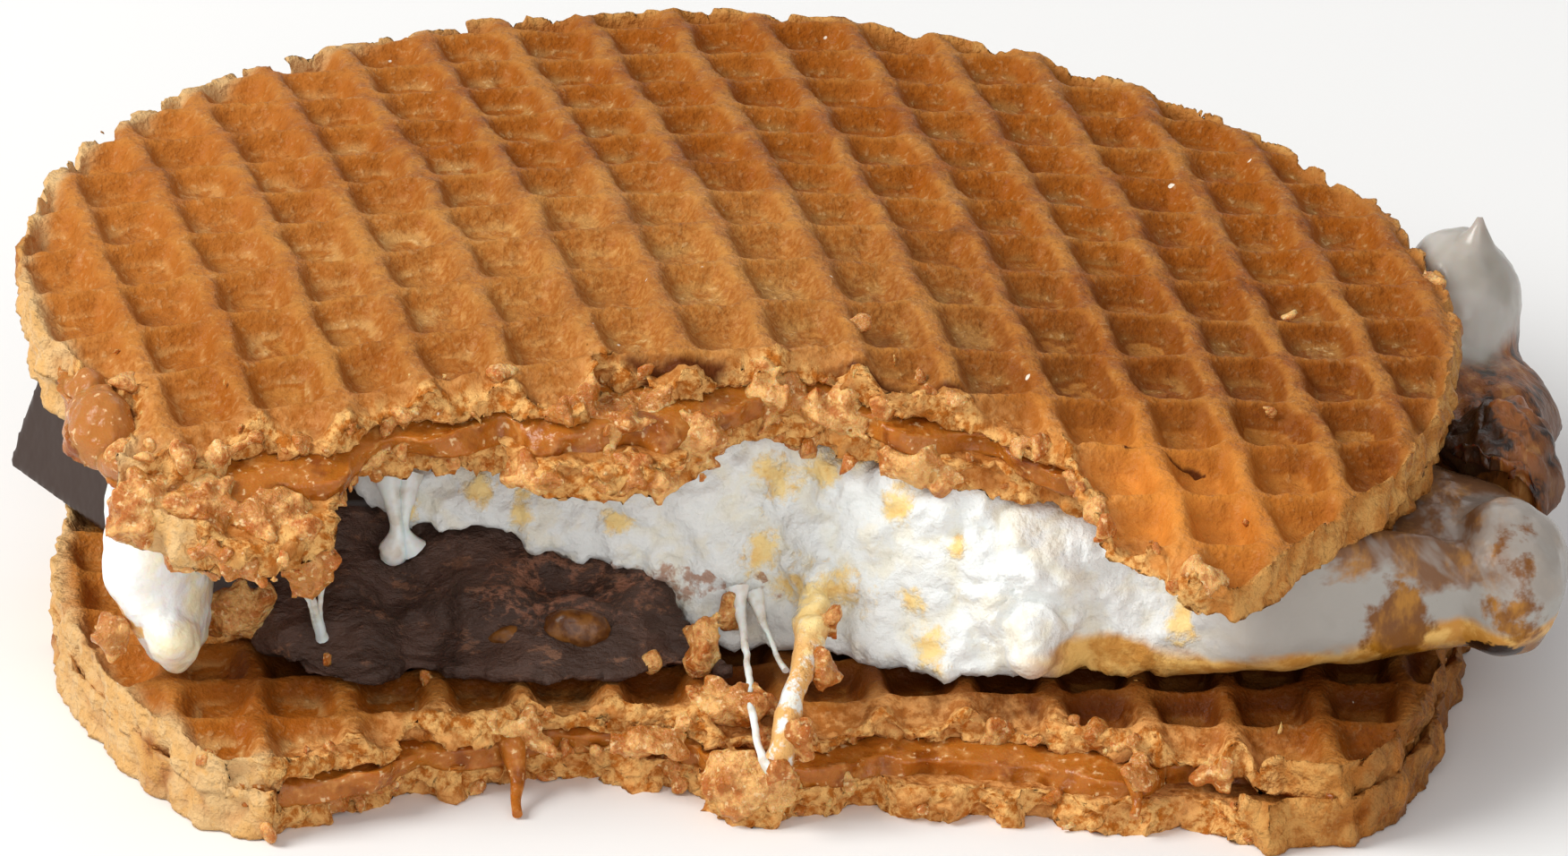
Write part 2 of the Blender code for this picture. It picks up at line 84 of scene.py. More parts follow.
for lamp_name, lamp_place, lamp_size, lamp_watts, lamp_colour in LAMPS:
    lamp = bpy.data.lights.new(lamp_name, "AREA")
    lamp.size = lamp_size
    lamp.energy = lamp_watts
    lamp.color = lamp_colour
    lamp_object = bpy.data.objects.new(lamp_name, lamp)
    lamp_object.location = lamp_place
    lamp_object.rotation_euler = (-Vector(lamp_place)).to_track_quat("-Z", "Y").to_euler()
    bpy.context.scene.collection.objects.link(lamp_object)

backwards = Vector((0, -math.cos(CAMERA_RISE), math.sin(CAMERA_RISE)))
upwards = Vector((0, math.sin(CAMERA_RISE), math.cos(CAMERA_RISE)))
aim = FOOTPRINT_MIDDLE * -MM + Vector((1, 0, 0)) * PICTURE_MIDDLE[0] + upwards * PICTURE_MIDDLE[1]
camera = bpy.data.cameras.new("camera")
camera.sensor_width = SENSOR_WIDTH
camera.lens = SENSOR_WIDTH * CAMERA_DISTANCE / PICTURE_WIDTH
camera_object = bpy.data.objects.new("camera", camera)
camera_object.location = aim + backwards * CAMERA_DISTANCE
camera_object.rotation_euler = (math.pi / 2 - CAMERA_RISE, 0, 0)
bpy.context.scene.collection.objects.link(camera_object)
bpy.context.scene.camera = camera_object
bpy.context.scene.view_settings.view_transform = "Standard"


# --- Bottom stroopwafel, lower plate: a thin, hard-baked waffle disc that the smore rests on.
# It was cut from the same baked waffle as the upper plate and is bitten off unevenly at the front.
class Wire:
    """A socket of a node tree. Arithmetic on it adds Math nodes, and node() adds any other node."""

    def __init__(self, tree, socket=None):
        self.tree = tree
        self.socket = socket

    def node(self, kind, settings=None, values=None, output=None):
        """Adds a node: its settings go in first, then its sockets' values, by socket identifier."""
        made = self.tree.nodes.new(kind)
        for label, value in (settings or {}).items():
            setattr(made, label, value)
        for label, value in (values or {}).items():
            target = next(socket for socket in made.inputs if socket.identifier == label)
            if isinstance(value, (Wire, list)):
                for wire in value if isinstance(value, list) else [value]:
                    self.tree.links.new(wire.socket, target)
            elif target.type == "RGBA":
                target.default_value = (*value, 1.0)
            elif target.type == "VECTOR" and isinstance(value, (int, float)):
                target.default_value = (value, value, value)
            else:
                target.default_value = value
        if output:
            return Wire(self.tree, next(socket for socket in made.outputs if socket.identifier == output))
        return Wire(self.tree, next(socket for socket in made.outputs if socket.enabled))

    def math(self, operation, *others):
        """A Math node's result, or a Vector Math node's where this is a vector or a colour."""
        spatial = self.socket.type in ("VECTOR", "RGBA")
        kind = "ShaderNodeVectorMath" if spatial else "ShaderNodeMath"
        first = "Vector" if spatial else "Value"
        labels = (first, first + "_001", first + "_002")
        return self.node(kind, {"operation": operation}, dict(zip(labels, (self, *others))))

    def __add__(self, other):
        return self.math("ADD", other)

    def __radd__(self, other):
        return self.math("ADD", other)

    def __sub__(self, other):
        return self.math("SUBTRACT", other)

    def __rsub__(self, other):
        return self.math("MULTIPLY_ADD", -1.0, other)

    def __mul__(self, other):
        return self.math("MULTIPLY", other)

    def __rmul__(self, other):
        return self.math("MULTIPLY", other)

    def __truediv__(self, other):
        return self.math("DIVIDE", other)

    def __abs__(self):
        return self.math("ABSOLUTE")

    def parts(self):
        """The x, y and z of a vector."""
        return [self.node("ShaderNodeSeparateXYZ", None, {"Vector": self}, axis) for axis in "XYZ"]

    def rise(self, low, high):
        """0 up to the low value, 1 from the high one on, and smooth between them."""
        limits = {"Value": self, "From Min": low, "From Max": high}
        return self.node("ShaderNodeMapRange", {"interpolation_type": "SMOOTHSTEP"}, limits)

    def mixed(self, low, high):
        """A colour that goes from low to high as this goes from 0 to 1."""
        ends = {"Factor_Float": self, "A_Color": low, "B_Color": high}
        return self.node("ShaderNodeMix", {"data_type": "RGBA"}, ends, "Result_Color")

    def mottle(self, size, detail=2.0, roughness=0.5):
        """Soft noise from 0 to 1 over this place, its lumps about so many millimetres apart."""
        look = {"Vector": self, "Scale": 1.0 / size, "Detail": detail, "Roughness": roughness}
        return self.node("ShaderNodeTexNoise", None, look)

    def shake(self, size, detail=2.0):
        """The same kind of noise as a vector, each of its parts from -0.5 to 0.5."""
        look = {"Vector": self, "Scale": 1.0 / size, "Detail": detail}
        return self.node("ShaderNodeTexNoise", None, look, "Color") - 0.5


def together(wire, x, y, z):
    """A vector of three wires or numbers, made in the same tree as the given wire."""
    return wire.node("ShaderNodeCombineXYZ", None, {"X": x, "Y": y, "Z": z})


SOCKET_KINDS = {
    float: "NodeSocketFloat",
    int: "NodeSocketInt",
    bpy.types.Object: "NodeSocketObject",
    bpy.types.Material: "NodeSocketMaterial",
}


def moulded(name, rule, given, start=None, grain=None, skin=None):
    """Runs a Geometry Nodes rule once, in millimetres, and keeps its result as a plain mesh object in metres.

    The rule gets a wire for every named input, and one for the start mesh as "Start". With a grain the start
    mesh gets a finer skin first, and with a skin the result is merged into one body."""
    tree = bpy.data.node_groups.new(name, "GeometryNodeTree")
    tree.is_modifier = True
    tree.interface.new_socket("Start", in_out="INPUT", socket_type="NodeSocketGeometry")
    for label, value in given.items():
        tree.interface.new_socket(label, in_out="INPUT", socket_type=SOCKET_KINDS[type(value)])
    tree.interface.new_socket("Result", in_out="OUTPUT", socket_type="NodeSocketGeometry")
    entry = tree.nodes.new("NodeGroupInput")
    leave = tree.nodes.new("NodeGroupOutput")
    wires = {label: Wire(tree, entry.outputs[label]) for label in given}
    wires["Start"] = Wire(tree, entry.outputs["Start"])
    solid = wires["Start"].node("GeometryNodeRealizeInstances", None, {"Geometry": rule(wires)})
    smooth = solid.node("GeometryNodeSetShadeSmooth", None, {"Geometry": solid})
    place = {"Geometry": smooth, "Scale": MM, "Translation": FOOTPRINT_MIDDLE * -MM}
    metres = smooth.node("GeometryNodeTransform", None, place)
    coated = metres.node("GeometryNodeSetMaterial", None, {"Geometry": metres, "Material": wires["Material"]})
    tree.links.new(coated.socket, leave.inputs["Result"])

    mesh = start or bpy.data.meshes.new(name)
    carrier = bpy.data.objects.new(name + "_carrier", mesh)
    bpy.context.scene.collection.objects.link(carrier)
    if grain:
        fine = carrier.modifiers.new("fine_skin", "REMESH")
        fine.mode = "VOXEL"
        fine.voxel_size = grain
    shaping = carrier.modifiers.new("rule", "NODES")
    shaping.node_group = tree
    for item in tree.interface.items_tree:
        if item.in_out == "INPUT" and item.name in given:
            shaping[item.identifier] = given[item.name]
    if skin:
        merged = carrier.modifiers.new("one_skin", "REMESH")
        merged.mode = "VOXEL"
        merged.voxel_size = skin * MM
        merged.use_smooth_shade = True
    finished = carrier.evaluated_get(bpy.context.evaluated_depsgraph_get())
    result = bpy.data.meshes.new_from_object(finished)
    carrier.modifiers.clear()
    bpy.data.objects.remove(carrier)
    result.name = name
    result.materials.clear()
    result.materials.append(given["Material"])
    piece = bpy.data.objects.new(name, result)
    bpy.context.scene.collection.objects.link(piece)
    return piece


def coating(name, paint, **uniform):
    """A material. The paint rule gets the place in millimetres and returns what varies over the surface."""
    made = bpy.data.materials.new(name)
    made.use_nodes = True
    tree = made.node_tree
    surface = tree.nodes["Principled BSDF"]
    for label, value in uniform.items():
        surface.inputs[label.replace("_", " ")].default_value = value
    place = Wire(tree).node("ShaderNodeTexCoord", output="Object") * (1 / MM) + tuple(FOOTPRINT_MIDDLE)
    for label, wire in paint(place).items():
        tree.links.new(wire.socket, surface.inputs[label])
    return made


def bumps(height, strength=1.0):
    """The normal of a surface with this height in millimetres on it."""
    return height.node("ShaderNodeBump", None, {"Height": height, "Strength": strength, "Distance": MM})


def stored(place, label):
    """A value that the piece's mesh carries."""
    return place.node("ShaderNodeAttribute", {"attribute_name": label}, None, "Fac")


def merged(node):
    """A CAD node's loose triangles joined into one surface."""
    bm = bmesh.new()
    bm.from_mesh(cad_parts[node].data)
    bmesh.ops.remove_doubles(bm, verts=bm.verts, dist=1e-6)
    return bm


def plan_outline(node, step):
    """A CAD layer's outline seen from above, as points this many millimetres apart, anticlockwise."""
    bm = merged(node)
    under = {face for face in bm.faces if face.normal.z < -0.5}
    onward = {}
    for edge in bm.edges:
        if len([face for face in edge.link_faces if face in under]) == 1:
            for vert, other in (edge.verts, reversed(edge.verts)):
                onward.setdefault(vert, []).append(other)
    loops = []
    waiting = dict.fromkeys(onward)
    while waiting:
        loop = [next(iter(waiting))]
        del waiting[loop[0]]
        while True:
            ahead = [vert for vert in onward[loop[-1]] if vert in waiting]
            if not ahead:
                break
            loop.append(ahead[0])
            del waiting[ahead[0]]
        loops.append([vert.co.xy / MM + FOOTPRINT_MIDDLE.xy for vert in loop])
    line = max(loops, key=len)
    bm.free()
    twice_area = sum(a.x * b.y - b.x * a.y for a, b in zip(line, line[1:] + line[:1]))
    if twice_area < 0:
        line.reverse()
    spaced = []
    spare = 0.0
    for start, end in zip(line, line[1:] + line[:1]):
        length = (end - start).length
        while spare < length:
            spaced.append(start.lerp(end, spare / length))
            spare += step
        spare -= length
    return spaced


BAKED_RIM = 1.3  # how far inside the full disc an outline still counts as its baked rim
WALL_STEP = 0.3


def craggy_wall(name, outline, middle, radius, low, high, crags, grit, wander):
    """A closed block in millimetres that cuts a layer to its outline.

    Its wall is fluted softly along the baked rim, and craggy where it was bitten or broken.
    Returns the block and two lines in plan, one along the bites and one along the rim."""
    count = len(outline)
    rows = max(2, math.ceil((high - low) / WALL_STEP))
    # 0 along the baked rim, and 1 where the outline runs well inside it
    torn = [min(max(radius - BAKED_RIM - (point - middle).length, 0.0), 1.0) for point in outline]
    verts = []
    for row in range(rows + 1):
        z = low + (high - low) * row / rows
        for index, point in enumerate(outline):
            along = (outline[(index + 1) % count] - outline[index - 1]).normalized()
            at = Vector((point.x, point.y, z))
            lumps = noise.noise(at / 3.6 + Vector((0, 0, low)))
            coarse = noise.noise(at / 1.5)
            fine = noise.noise(at / 0.55)
            push = torn[index] * crags * (0.6 * lumps + 0.75 * coarse + 0.5 * grit * fine)
            flutes = noise.noise(Vector((point.x, point.y, z * 1.6)) / 2.1)
            push += (1 - torn[index]) * (0.55 * flutes + 0.45 * coarse + 0.3 * fine - 0.15)
            push += torn[index] * wander * (2 * noise.noise(at / 5.0) + 0.25)
            verts.append((point.x + push * along.y, point.y - push * along.x, z))
    faces = [tuple(reversed(range(count))), tuple(range(rows * count, (rows + 1) * count))]
    for row in range(rows):
        for index in range(count):
            right = (index + 1) % count
            below, above = row * count, (row + 1) * count
            faces.append((below + index, below + right, above + right, above + index))
    block = bpy.data.meshes.new(name)
    block.from_pydata(verts, [], faces)
    lines = []
    for wanted in (1, 0):
        mesh = bpy.data.meshes.new(name + "_line")
        flat = [(point.x, point.y, 0.0) for point in outline]
        kept = [(index, (index + 1) % count) for index in range(count) if round(torn[index]) == wanted]
        mesh.from_pydata(flat, kept, [])
        lines.append(mesh)
    made = []
    for mesh in (block, *lines):
        helper = bpy.data.objects.new(mesh.name, mesh)
        bpy.context.scene.collection.objects.link(helper)
        made.append(helper)
    return made


def plan_distance(wires, label, place):
    """Distance in plan from this place to the named line object."""
    x, y, _ = place.parts()
    line = wires[label].node("GeometryNodeObjectInfo", None, {"Object": wires[label]}, "Geometry")
    near = {"Target": line, "Source Position": together(x, x, y, 0.0)}
    return line.node("GeometryNodeProximity", {"target_element": "EDGES"}, near, "Distance")


def placed(solid, places, only=True):
    """Puts the points at these places: all of them, or only the chosen ones."""
    move = {"Geometry": solid, "Position": places, "Selection": only}
    return solid.node("GeometryNodeSetPosition", None, move)


def shifted(solid, by):
    """Moves every point by this vector."""
    return solid.node("GeometryNodeSetPosition", None, {"Geometry": solid, "Offset": by})


UNDERSIDE_GRID = 2.2  # the coarser spacing of the points below


def slab(wires, top_rule):
    """A flat block, finely divided on top and coarsely below, with top_rule(x, y) as its upper face."""
    size = {"Size": together(wires["Side"], wires["Side"], wires["Side"], wires["Thickness"])}
    size.update({"Vertices X": wires["Cells"], "Vertices Y": wires["Cells"], "Vertices Z": 2})
    block = wires["Start"].node("GeometryNodeMeshCube", None, size, "Mesh")
    x, y, z = block.node("GeometryNodeInputPosition").parts()
    upper = z.math("GREATER_THAN", 0.0)
    coarse_x = (x / UNDERSIDE_GRID).math("ROUND") * UNDERSIDE_GRID
    coarse_y = (y / UNDERSIDE_GRID).math("ROUND") * UNDERSIDE_GRID
    block = placed(block, together(x, coarse_x, coarse_y, z), 1.0 - upper)
    block = block.node("GeometryNodeMergeByDistance", None, {"Geometry": block, "Distance": 0.01})
    middle = together(block, wires["Middle X"], wires["Middle Y"], wires["Thickness"] * -0.5)
    block = block.node("GeometryNodeTransform", None, {"Geometry": block, "Translation": middle})
    x, y, z = block.node("GeometryNodeInputPosition").parts()
    return placed(block, together(x, x, y, top_rule(x, y)), z.math("GREATER_THAN", -0.01))


def level(x, _):
    """The upper face of a layer with nothing pressed into it."""
    return x * 0.0


def keep_value(solid, label, value):
    """Stores a value on the points, to be read again by a later step or by the material."""
    keep = {"Geometry": solid, "Name": label, "Value": value}
    return solid.node("GeometryNodeStoreNamedAttribute", {"data_type": "FLOAT", "domain": "POINT"}, keep)


def carried(wire, label):
    """A value that the points carry."""
    return wire.node("GeometryNodeInputNamedAttribute", {"data_type": "FLOAT"}, {"Name": label})


def cut_to_outline(wires, block):
    """The block cut to the craggy outline, its points carrying their distances to bite and rim."""
    wall = block.node("GeometryNodeObjectInfo", None, {"Object": wires["Wall"]}, "Geometry")
    overlap = {"operation": "INTERSECT", "solver": "MANIFOLD"}
    result = block.node("GeometryNodeMeshBoolean", overlap, {"Mesh 2": [block, wall]})
    spot = result.node("GeometryNodeInputPosition")
    for label, line in (("to_bite", "Bite line"), ("to_rim", "Rim line")):
        result = keep_value(result, label, plan_distance(wires, line, spot))
    return result


PINCH_UP, PINCH_DOWN = 1.15, -0.85


def crumbled(wires, solid, lip):
    """Pinches the baked rim towards the other plate by the lip, and roughens the faces beside a bite."""
    spot = solid.node("GeometryNodeInputPosition")
    _, _, z = spot.parts()
    near_rim = 1.0 - carried(solid, "to_rim").rise(0.35, 1.3)
    share = z / wires["Thickness"] + 1.0
    inner = share if lip > 0 else 1.0 - share
    pinched = near_rim * (inner * lip - (1.0 - inner) * (0.25 if lip < 0 else -0.1))
    near_bite = 1.0 - carried(solid, "to_bite").rise(0.3, 2.2)
    rough = spot.shake(0.9, 3.0) * together(spot, near_bite, near_bite, near_bite * 1.1)
    return shifted(solid, rough + together(spot, 0.0, 0.0, pinched))


def lifted(wires, solid):
    """Raises a flat layer to its height in the stack."""
    return shifted(solid, together(solid, 0.0, 0.0, wires["Height"]))


def plain_plate(wires):
    """A plate without a grid, its rim pinched up to the plate above it."""
    return lifted(wires, crumbled(wires, cut_to_outline(wires, slab(wires, level)), PINCH_UP))


def oval(place, middle, half, full, none):
    """A soft oval mask: 1 up to one share of its half size, and 0 from the other share on."""
    return 1.0 - ((place - middle) / half).math("LENGTH").rise(full, none)


def strongest(masks):
    """The highest of several masks at every place."""
    most = masks[0]
    for mask in masks[1:]:
        most = most.math("MAXIMUM", mask)
    return most


CRACKS = (
    # ends in plan of the cracks beside the top wafer's bite, with half of each one's width
    (-8.7, -12.8, -2.0, -12.2, 0.3), (-2.0, -12.2, 4.6, -11.2, 0.2), (4.6, -11.2, 11.7, -12.8, 0.25),
    (-28.5, -19.6, -20.0, -18.2, 0.2), (-20.0, -18.2, -12.5, -15.2, 0.2), (20.5, -16.6, 24.7, -17.0, 0.07),
)


def cracks(x, y):
    """1 in a crack of the crust and 0 away from it."""
    here = together(x, x, y, 0.0)
    ragged = (here.mottle(1.6, 2.0) - 0.5) * 0.6
    found = []
    for from_x, from_y, to_x, to_y, half in CRACKS:
        along = Vector((to_x - from_x, to_y - from_y, 0.0))
        run = (here - (from_x, from_y, 0.0)).math("DOT_PRODUCT", tuple(along / along.length_squared))
        run = run.math("MAXIMUM", 0.0).math("MINIMUM", 1.0)
        off = (together(x, run * along.x + from_x, run * along.y + from_y, 0.0) - here).math("LENGTH")
        found.append(1.0 - (off + ragged).rise(half * 0.4, half * 2.2))
    return strongest(found)


# The crust's colours, then those of its cracks, worn places, rim and wall, and of the crumb inside
# Some of them are painted light and painted shade, mixed in where the paint below says so
CRUST_DARK = (0.13, 0.028, 0.002)
CRUST = (0.30, 0.083, 0.009)
CRUST_GOLD = (0.42, 0.162, 0.030)
CRUST_ORANGE = (0.30, 0.075, 0.003)
CRUST_OLIVE = (0.31, 0.135, 0.032)
CRUST_TAN_LIT = (0.50, 0.26, 0.085)
CRUST_LIT_AMBER = (0.56, 0.20, 0.036)
CRUST_PALE_GRAIN_AND_LIGHT = (0.70, 0.37, 0.11)
CRUST_LIT_CORNER = (0.76, 0.27, 0.042)
CRUST_SOAKED_AND_SHADED = (0.055, 0.010, 0.001)
CRACK_BROWN = (0.11, 0.026, 0.004)
WORN = (0.76, 0.37, 0.12)
WORN_DEEP = (0.44, 0.155, 0.032)
RIM_CREAM = (0.70, 0.47, 0.22)
RIM_BROWN = (0.42, 0.165, 0.035)
WALL_TAN = (0.62, 0.33, 0.10)
WALL_SHADE_BROWN = (0.17, 0.055, 0.014)
CRUMB = (0.76, 0.42, 0.14)
CRUMB_DEEP = (0.42, 0.125, 0.014)
SUGAR = (0.8, 0.72, 0.6)


def baked(place):
    """Baked crust, orange-brown with painted light and shade: greyish pit floors, pale rim, golden crumb
    where bitten.
    """
    x, y, z = place.parts()
    pit = stored(place, "pit")
    to_bite = stored(place, "to_bite")
    to_rim = stored(place, "to_rim")
    cloud = place.mottle(5.0, 3.0, 0.6)
    spots = place.mottle(1.3, 4.0, 0.65)
    pores = place.mottle(0.4, 2.0, 0.6)
    right = x.rise(-6.0, 16.0)

    # The ridges, the pits' orange slopes and duller floors, and painted light on the floors and side at the
    # left
    crust = (cloud * 0.65 + spots * 0.35).rise(0.40, 0.60).mixed(CRUST, CRUST_GOLD)
    slope = pit.rise(0.05, 0.35) * (1.0 - pit.rise(0.75, 0.98))
    crust = (slope * 0.75).mixed(crust, CRUST_ORANGE)
    floor = pit.rise(0.60, 0.98) * (spots * 0.5 + cloud * 0.5).rise(0.37, 0.53)
    floor_colour_lit_left = (1.0 - (x + cloud * 30.0).rise(-14.0, 22.0)).mixed(CRUST_OLIVE, CRUST_TAN_LIT)
    crust = (floor * 0.9).mixed(crust, floor_colour_lit_left)
    # Painted light: the left side lighter, where the light falls from the upper left
    lit_left = 1.0 - (x - y * 0.3 + cloud * 10.0).rise(-36.0, -14.0)
    crust = (lit_left * 0.45).mixed(crust, CRUST_LIT_AMBER)

    # Pale and dark pores, and clouds of darker baking, with painted shade deepening them towards the right
    crust = (pores.rise(0.56, 0.72) * (0.2 + floor * 0.4)).mixed(crust, RIM_CREAM)
    crust = ((1.0 - pores.rise(0.30, 0.44)) * (0.24 + right * 0.16)).mixed(crust, CRUST_DARK)
    crust = ((1.0 - cloud.rise(0.30, 0.40)) * (0.24 + right * 0.2)).mixed(crust, CRUST_DARK)
    # Painted shade on the pits' slopes at the front right
    front_slope_shade = slope * right * (1.0 - y.rise(-4.0, 12.0)) * y.rise(-24.0, -12.0)
    crust = (front_slope_shade * 0.5).mixed(crust, CRUST_DARK)

    # Painted light on the top wafer's crown left of the middle, brightest on a pale grain that shows faintly
    # everywhere
    crown_light = oval(place, (-7.0, -2.0, 23.0), (25.0, 18.0, 30.0), 0.25, 1.2)
    grain = place.mottle(0.35, 3.0, 0.6).rise(0.40, 0.64)
    crust = (crown_light * (grain * (pit * 0.20 + 0.10) + 0.13) + grain * 0.04).mixed(crust, CRUST_PALE_GRAIN_AND_LIGHT)

    # Painted shade on the bottom wafer's grid under the filling and marshmallow, darkest in the pits, with
    # some syrup soaked in
    soaked = (y + spots * 4.0 + x.rise(4.0, 14.0) * 5.5).rise(-16.6, -13.0)
    soaked = (1.0 - z.rise(5.6, 7.0)) * soaked * x.rise(-30.0, -27.0)
    crust = (soaked * (0.6 + pit * 0.35)).mixed(crust, CRUST_SOAKED_AND_SHADED)

    # Painted light on the top wafer's thin corner at the front right, which faces the light: brighter orange
    # than the rest
    lit_corner = oval(place, (19.5, -22.0, 17.5), (16.0, 12.5, 10.0), 0.15, 1.1)
    crust = (lit_corner * (0.35 + spots * 0.8) * (1.0 - pit * 0.4)).mixed(crust, CRUST_LIT_CORNER)

    # Crust worn off beside the bites, and the cracks in the top wafer
    worn = 1.0 - (to_bite + (spots - 0.5) * 4.0).rise(0.7, 3.2)
    worn_colour = place.mottle(0.8, 4.0, 0.65).rise(0.40, 0.60).mixed(WORN_DEEP, WORN)
    crust = (worn * (0.35 + (1.0 - z.rise(5.8, 7.0)) * 0.4)).mixed(crust, worn_colour)
    crust = (cracks(x, y) * z.rise(12.0, 13.0)).mixed(crust, CRACK_BROWN)

    # The rim's pale edge, with painted light making it cream at the left and browner at the right, and its
    # wall
    edge = 1.0 - (to_rim + (spots - 0.5) * 1.2).rise(0.1, 1.5)
    rim_colour_lit_left = (1.0 - (x + cloud * 20.0).rise(-20.0, 0.0)).mixed(RIM_BROWN, RIM_CREAM)
    crust = (edge * cloud.rise(0.28, 0.5) * 0.85).mixed(crust, rim_colour_lit_left)
    wall = 1.0 - (to_rim + (pores - 0.5) * 0.5).rise(0.05, 0.45)
    crust = (wall * spots.rise(0.40, 0.56) * 0.7).mixed(crust, WALL_TAN)
    # Painted shade on the wall at the far right, low on the bottom wafer
    shaded = (x + spots * 4.0).rise(33.5, 37.5) * (1.0 - z.rise(5.8, 7.0))
    crust = (wall * shaded * (0.35 + cloud * 0.8)).mixed(crust, WALL_SHADE_BROWN)

    # Golden crumb on what is broken, and a few grains of sugar
    crumb = place.mottle(0.7, 4.0, 0.65).rise(0.38, 0.60).mixed(CRUMB_DEEP, CRUMB)
    broken = 1.0 - (to_bite + place.mottle(0.8) * 0.8 - 0.4).rise(0.15, 0.8)
    sugar = place.mottle(0.9, 1.0).rise(0.80, 0.83)
    height = pores * 0.16 + place.mottle(1.2, 3.0) * 0.16 + place.mottle(0.5, 3.0) * (broken + edge) * 0.35
    return {
        "Base Color": sugar.mixed(broken.mixed(crust, crumb), SUGAR),
        "Roughness": spots.rise(0.35, 0.65) * 0.25 + 0.34 + broken * 0.25,
        "Normal": bumps(height),
    }


BAKED = coating("baked_wafer", baked, Specular_IOR_Level=0.07)

PLATE = 1.9
SIDE = 86.0  # of the block that a layer is cut from
BOTTOM_MIDDLE = Vector((0.0, 0.0))
OUTLINE_STEP = 0.35
WALL_BELOW, WALL_ABOVE = 0.7, 0.6  # how far the cutting wall reaches past the block


def cut_layer(
    name, node, rule, radius, thickness, given,
    middle=BOTTOM_MIDDLE, crags=1.1, grit=1.0, wander=0.0,
):
    """Builds one layer of a wafer from the outline of its CAD node, and puts it in the node's place.

    Crags and grit say how coarse and fine its torn edge is, and wander how far that strays in and out."""
    outline = plan_outline(node, OUTLINE_STEP)
    low = -thickness - WALL_BELOW
    helpers = craggy_wall(name + "_wall", outline, middle, radius, low, WALL_ABOVE, crags, grit, wander)
    inputs = {
        "Side": SIDE, "Thickness": thickness, "Middle X": middle.x, "Middle Y": middle.y,
        "Wall": helpers[0], "Bite line": helpers[1], "Rim line": helpers[2],
    }
    inputs.update(given)
    piece = moulded(name, rule, inputs)
    for helper in helpers:
        bpy.data.objects.remove(helper)
    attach(piece, "root")
    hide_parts(node)
    return piece


bottom_lower = cut_layer(
    "bottom_plate_lower", "bottom_wafer_lower", plain_plate, radius=39.7, thickness=PLATE,
    given={"Cells": 150, "Height": PLATE, "Material": BAKED},
)


# --- Bottom stroopwafel, caramel: a thin, chewy layer of dark syrup between the two plates.
# It is spread unevenly, sags out of the bite and glues the plates together.
SYRUP_DARK = (0.22, 0.052, 0.003)
SYRUP = (0.40, 0.125, 0.013)
SYRUP_PALE = (0.62, 0.29, 0.08)
SYRUP_OOZE = (0.40, 0.145, 0.028)
SYRUP_CRUMB = (0.85, 0.62, 0.34)
OOZE_MARK = 9.0  # the distance to the bite that the ooze's points carry, by which the paint knows them


def syrup(place):
    """Caramel: glossy amber, cloudy and paler where crumbs and air are worked into it."""
    cloud = place.mottle(2.6, 3.0, 0.6)
    milky = place.mottle(0.9, 3.0, 0.6)
    specks = place.mottle(0.45, 3.0)
    oozed = stored(place, "to_bite").rise(OOZE_MARK - 2.0, OOZE_MARK - 1.0)
    colour = cloud.rise(0.32, 0.52).mixed(SYRUP_DARK, SYRUP)
    colour = (milky.rise(0.52, 0.70) * 0.55).mixed(colour, SYRUP_PALE)
    colour = oozed.mixed(colour, SYRUP_OOZE)
    colour = (specks.rise(0.62, 0.70) * 0.55).mixed(colour, SYRUP_CRUMB)
    height = place.mottle(1.6, 2.0) * 0.12 + specks * 0.09
    return {"Base Color": colour, "Roughness": milky.rise(0.4, 0.7) * 0.3 + 0.22, "Normal": bumps(height)}


SYRUPY = coating(
    "caramel_syrup", syrup, Specular_IOR_Level=0.28, Subsurface_Weight=0.2, Subsurface_Scale=0.0015,
)

CARAMEL = 0.9
LAYER_GAP = 0.25
GAP_FILLED = 0.2  # how much of the gap on either side the syrup fills
CARAMEL_PRESSED = CARAMEL + 2 * GAP_FILLED


def waved_syrup(wires):
    """A slab of syrup that waves and sags a little beside the bite."""
    solid = cut_to_outline(wires, slab(wires, level))
    spot = solid.node("GeometryNodeInputPosition")
    near_bite = (1.0 - carried(solid, "to_bite").rise(0.5, 3.0)) * 0.9
    sag = together(spot, 0.0, 0.0, (1.0 - carried(solid, "to_bite").rise(0.0, 1.2)) * -0.35)
    return shifted(solid, spot.shake(2.6) * together(spot, near_bite, near_bite, near_bite) + sag)


def spread_syrup(wires):
    """The syrup lying flat between the plates."""
    return lifted(wires, waved_syrup(wires))


cut_layer(
    "bottom_caramel_syrup", "bottom_caramel", spread_syrup, radius=38.9, thickness=CARAMEL_PRESSED,
    given={"Cells": 150, "Height": PLATE + LAYER_GAP + CARAMEL + GAP_FILLED, "Material": SYRUPY},
    crags=0.5, grit=0.2, wander=0.5,
)


# --- Bottom stroopwafel, upper plate: waffle with broad ridges one way and thin crests the other.
# Its pits show as a row of dark troughs in front of the filling, and the bite ends it in loose crumb.
PITCH = 4.9
BROAD_HALF, BROAD_SLOPE = 0.35, 1.3  # half the flat top of a ridge, and the width of its slope
THIN_HALF, THIN_SLOPE = 0.0, 1.75
CREST_DIP = 0.1  # how far the thin crests lie below the broad ridges, as a share of the pits' depth
PIT_DEPTH = 1.3
PIT_ROUNDING = 1.35
BOTTOM_HEIGHT = PLATE + CARAMEL + PLATE + 2 * LAYER_GAP


def hollow(across, half, slope):
    """0 on a ridge and 1 in the pit beside it, for a distance from any one ridge's middle."""
    off = abs((across / PITCH + 0.5).math("FRACT") - 0.5) * PITCH
    share = off.node("ShaderNodeMapRange", None, {"Value": off, "From Min": half, "From Max": half + slope})
    return (share * (2.0 - share)).math("POWER", PIT_ROUNDING)


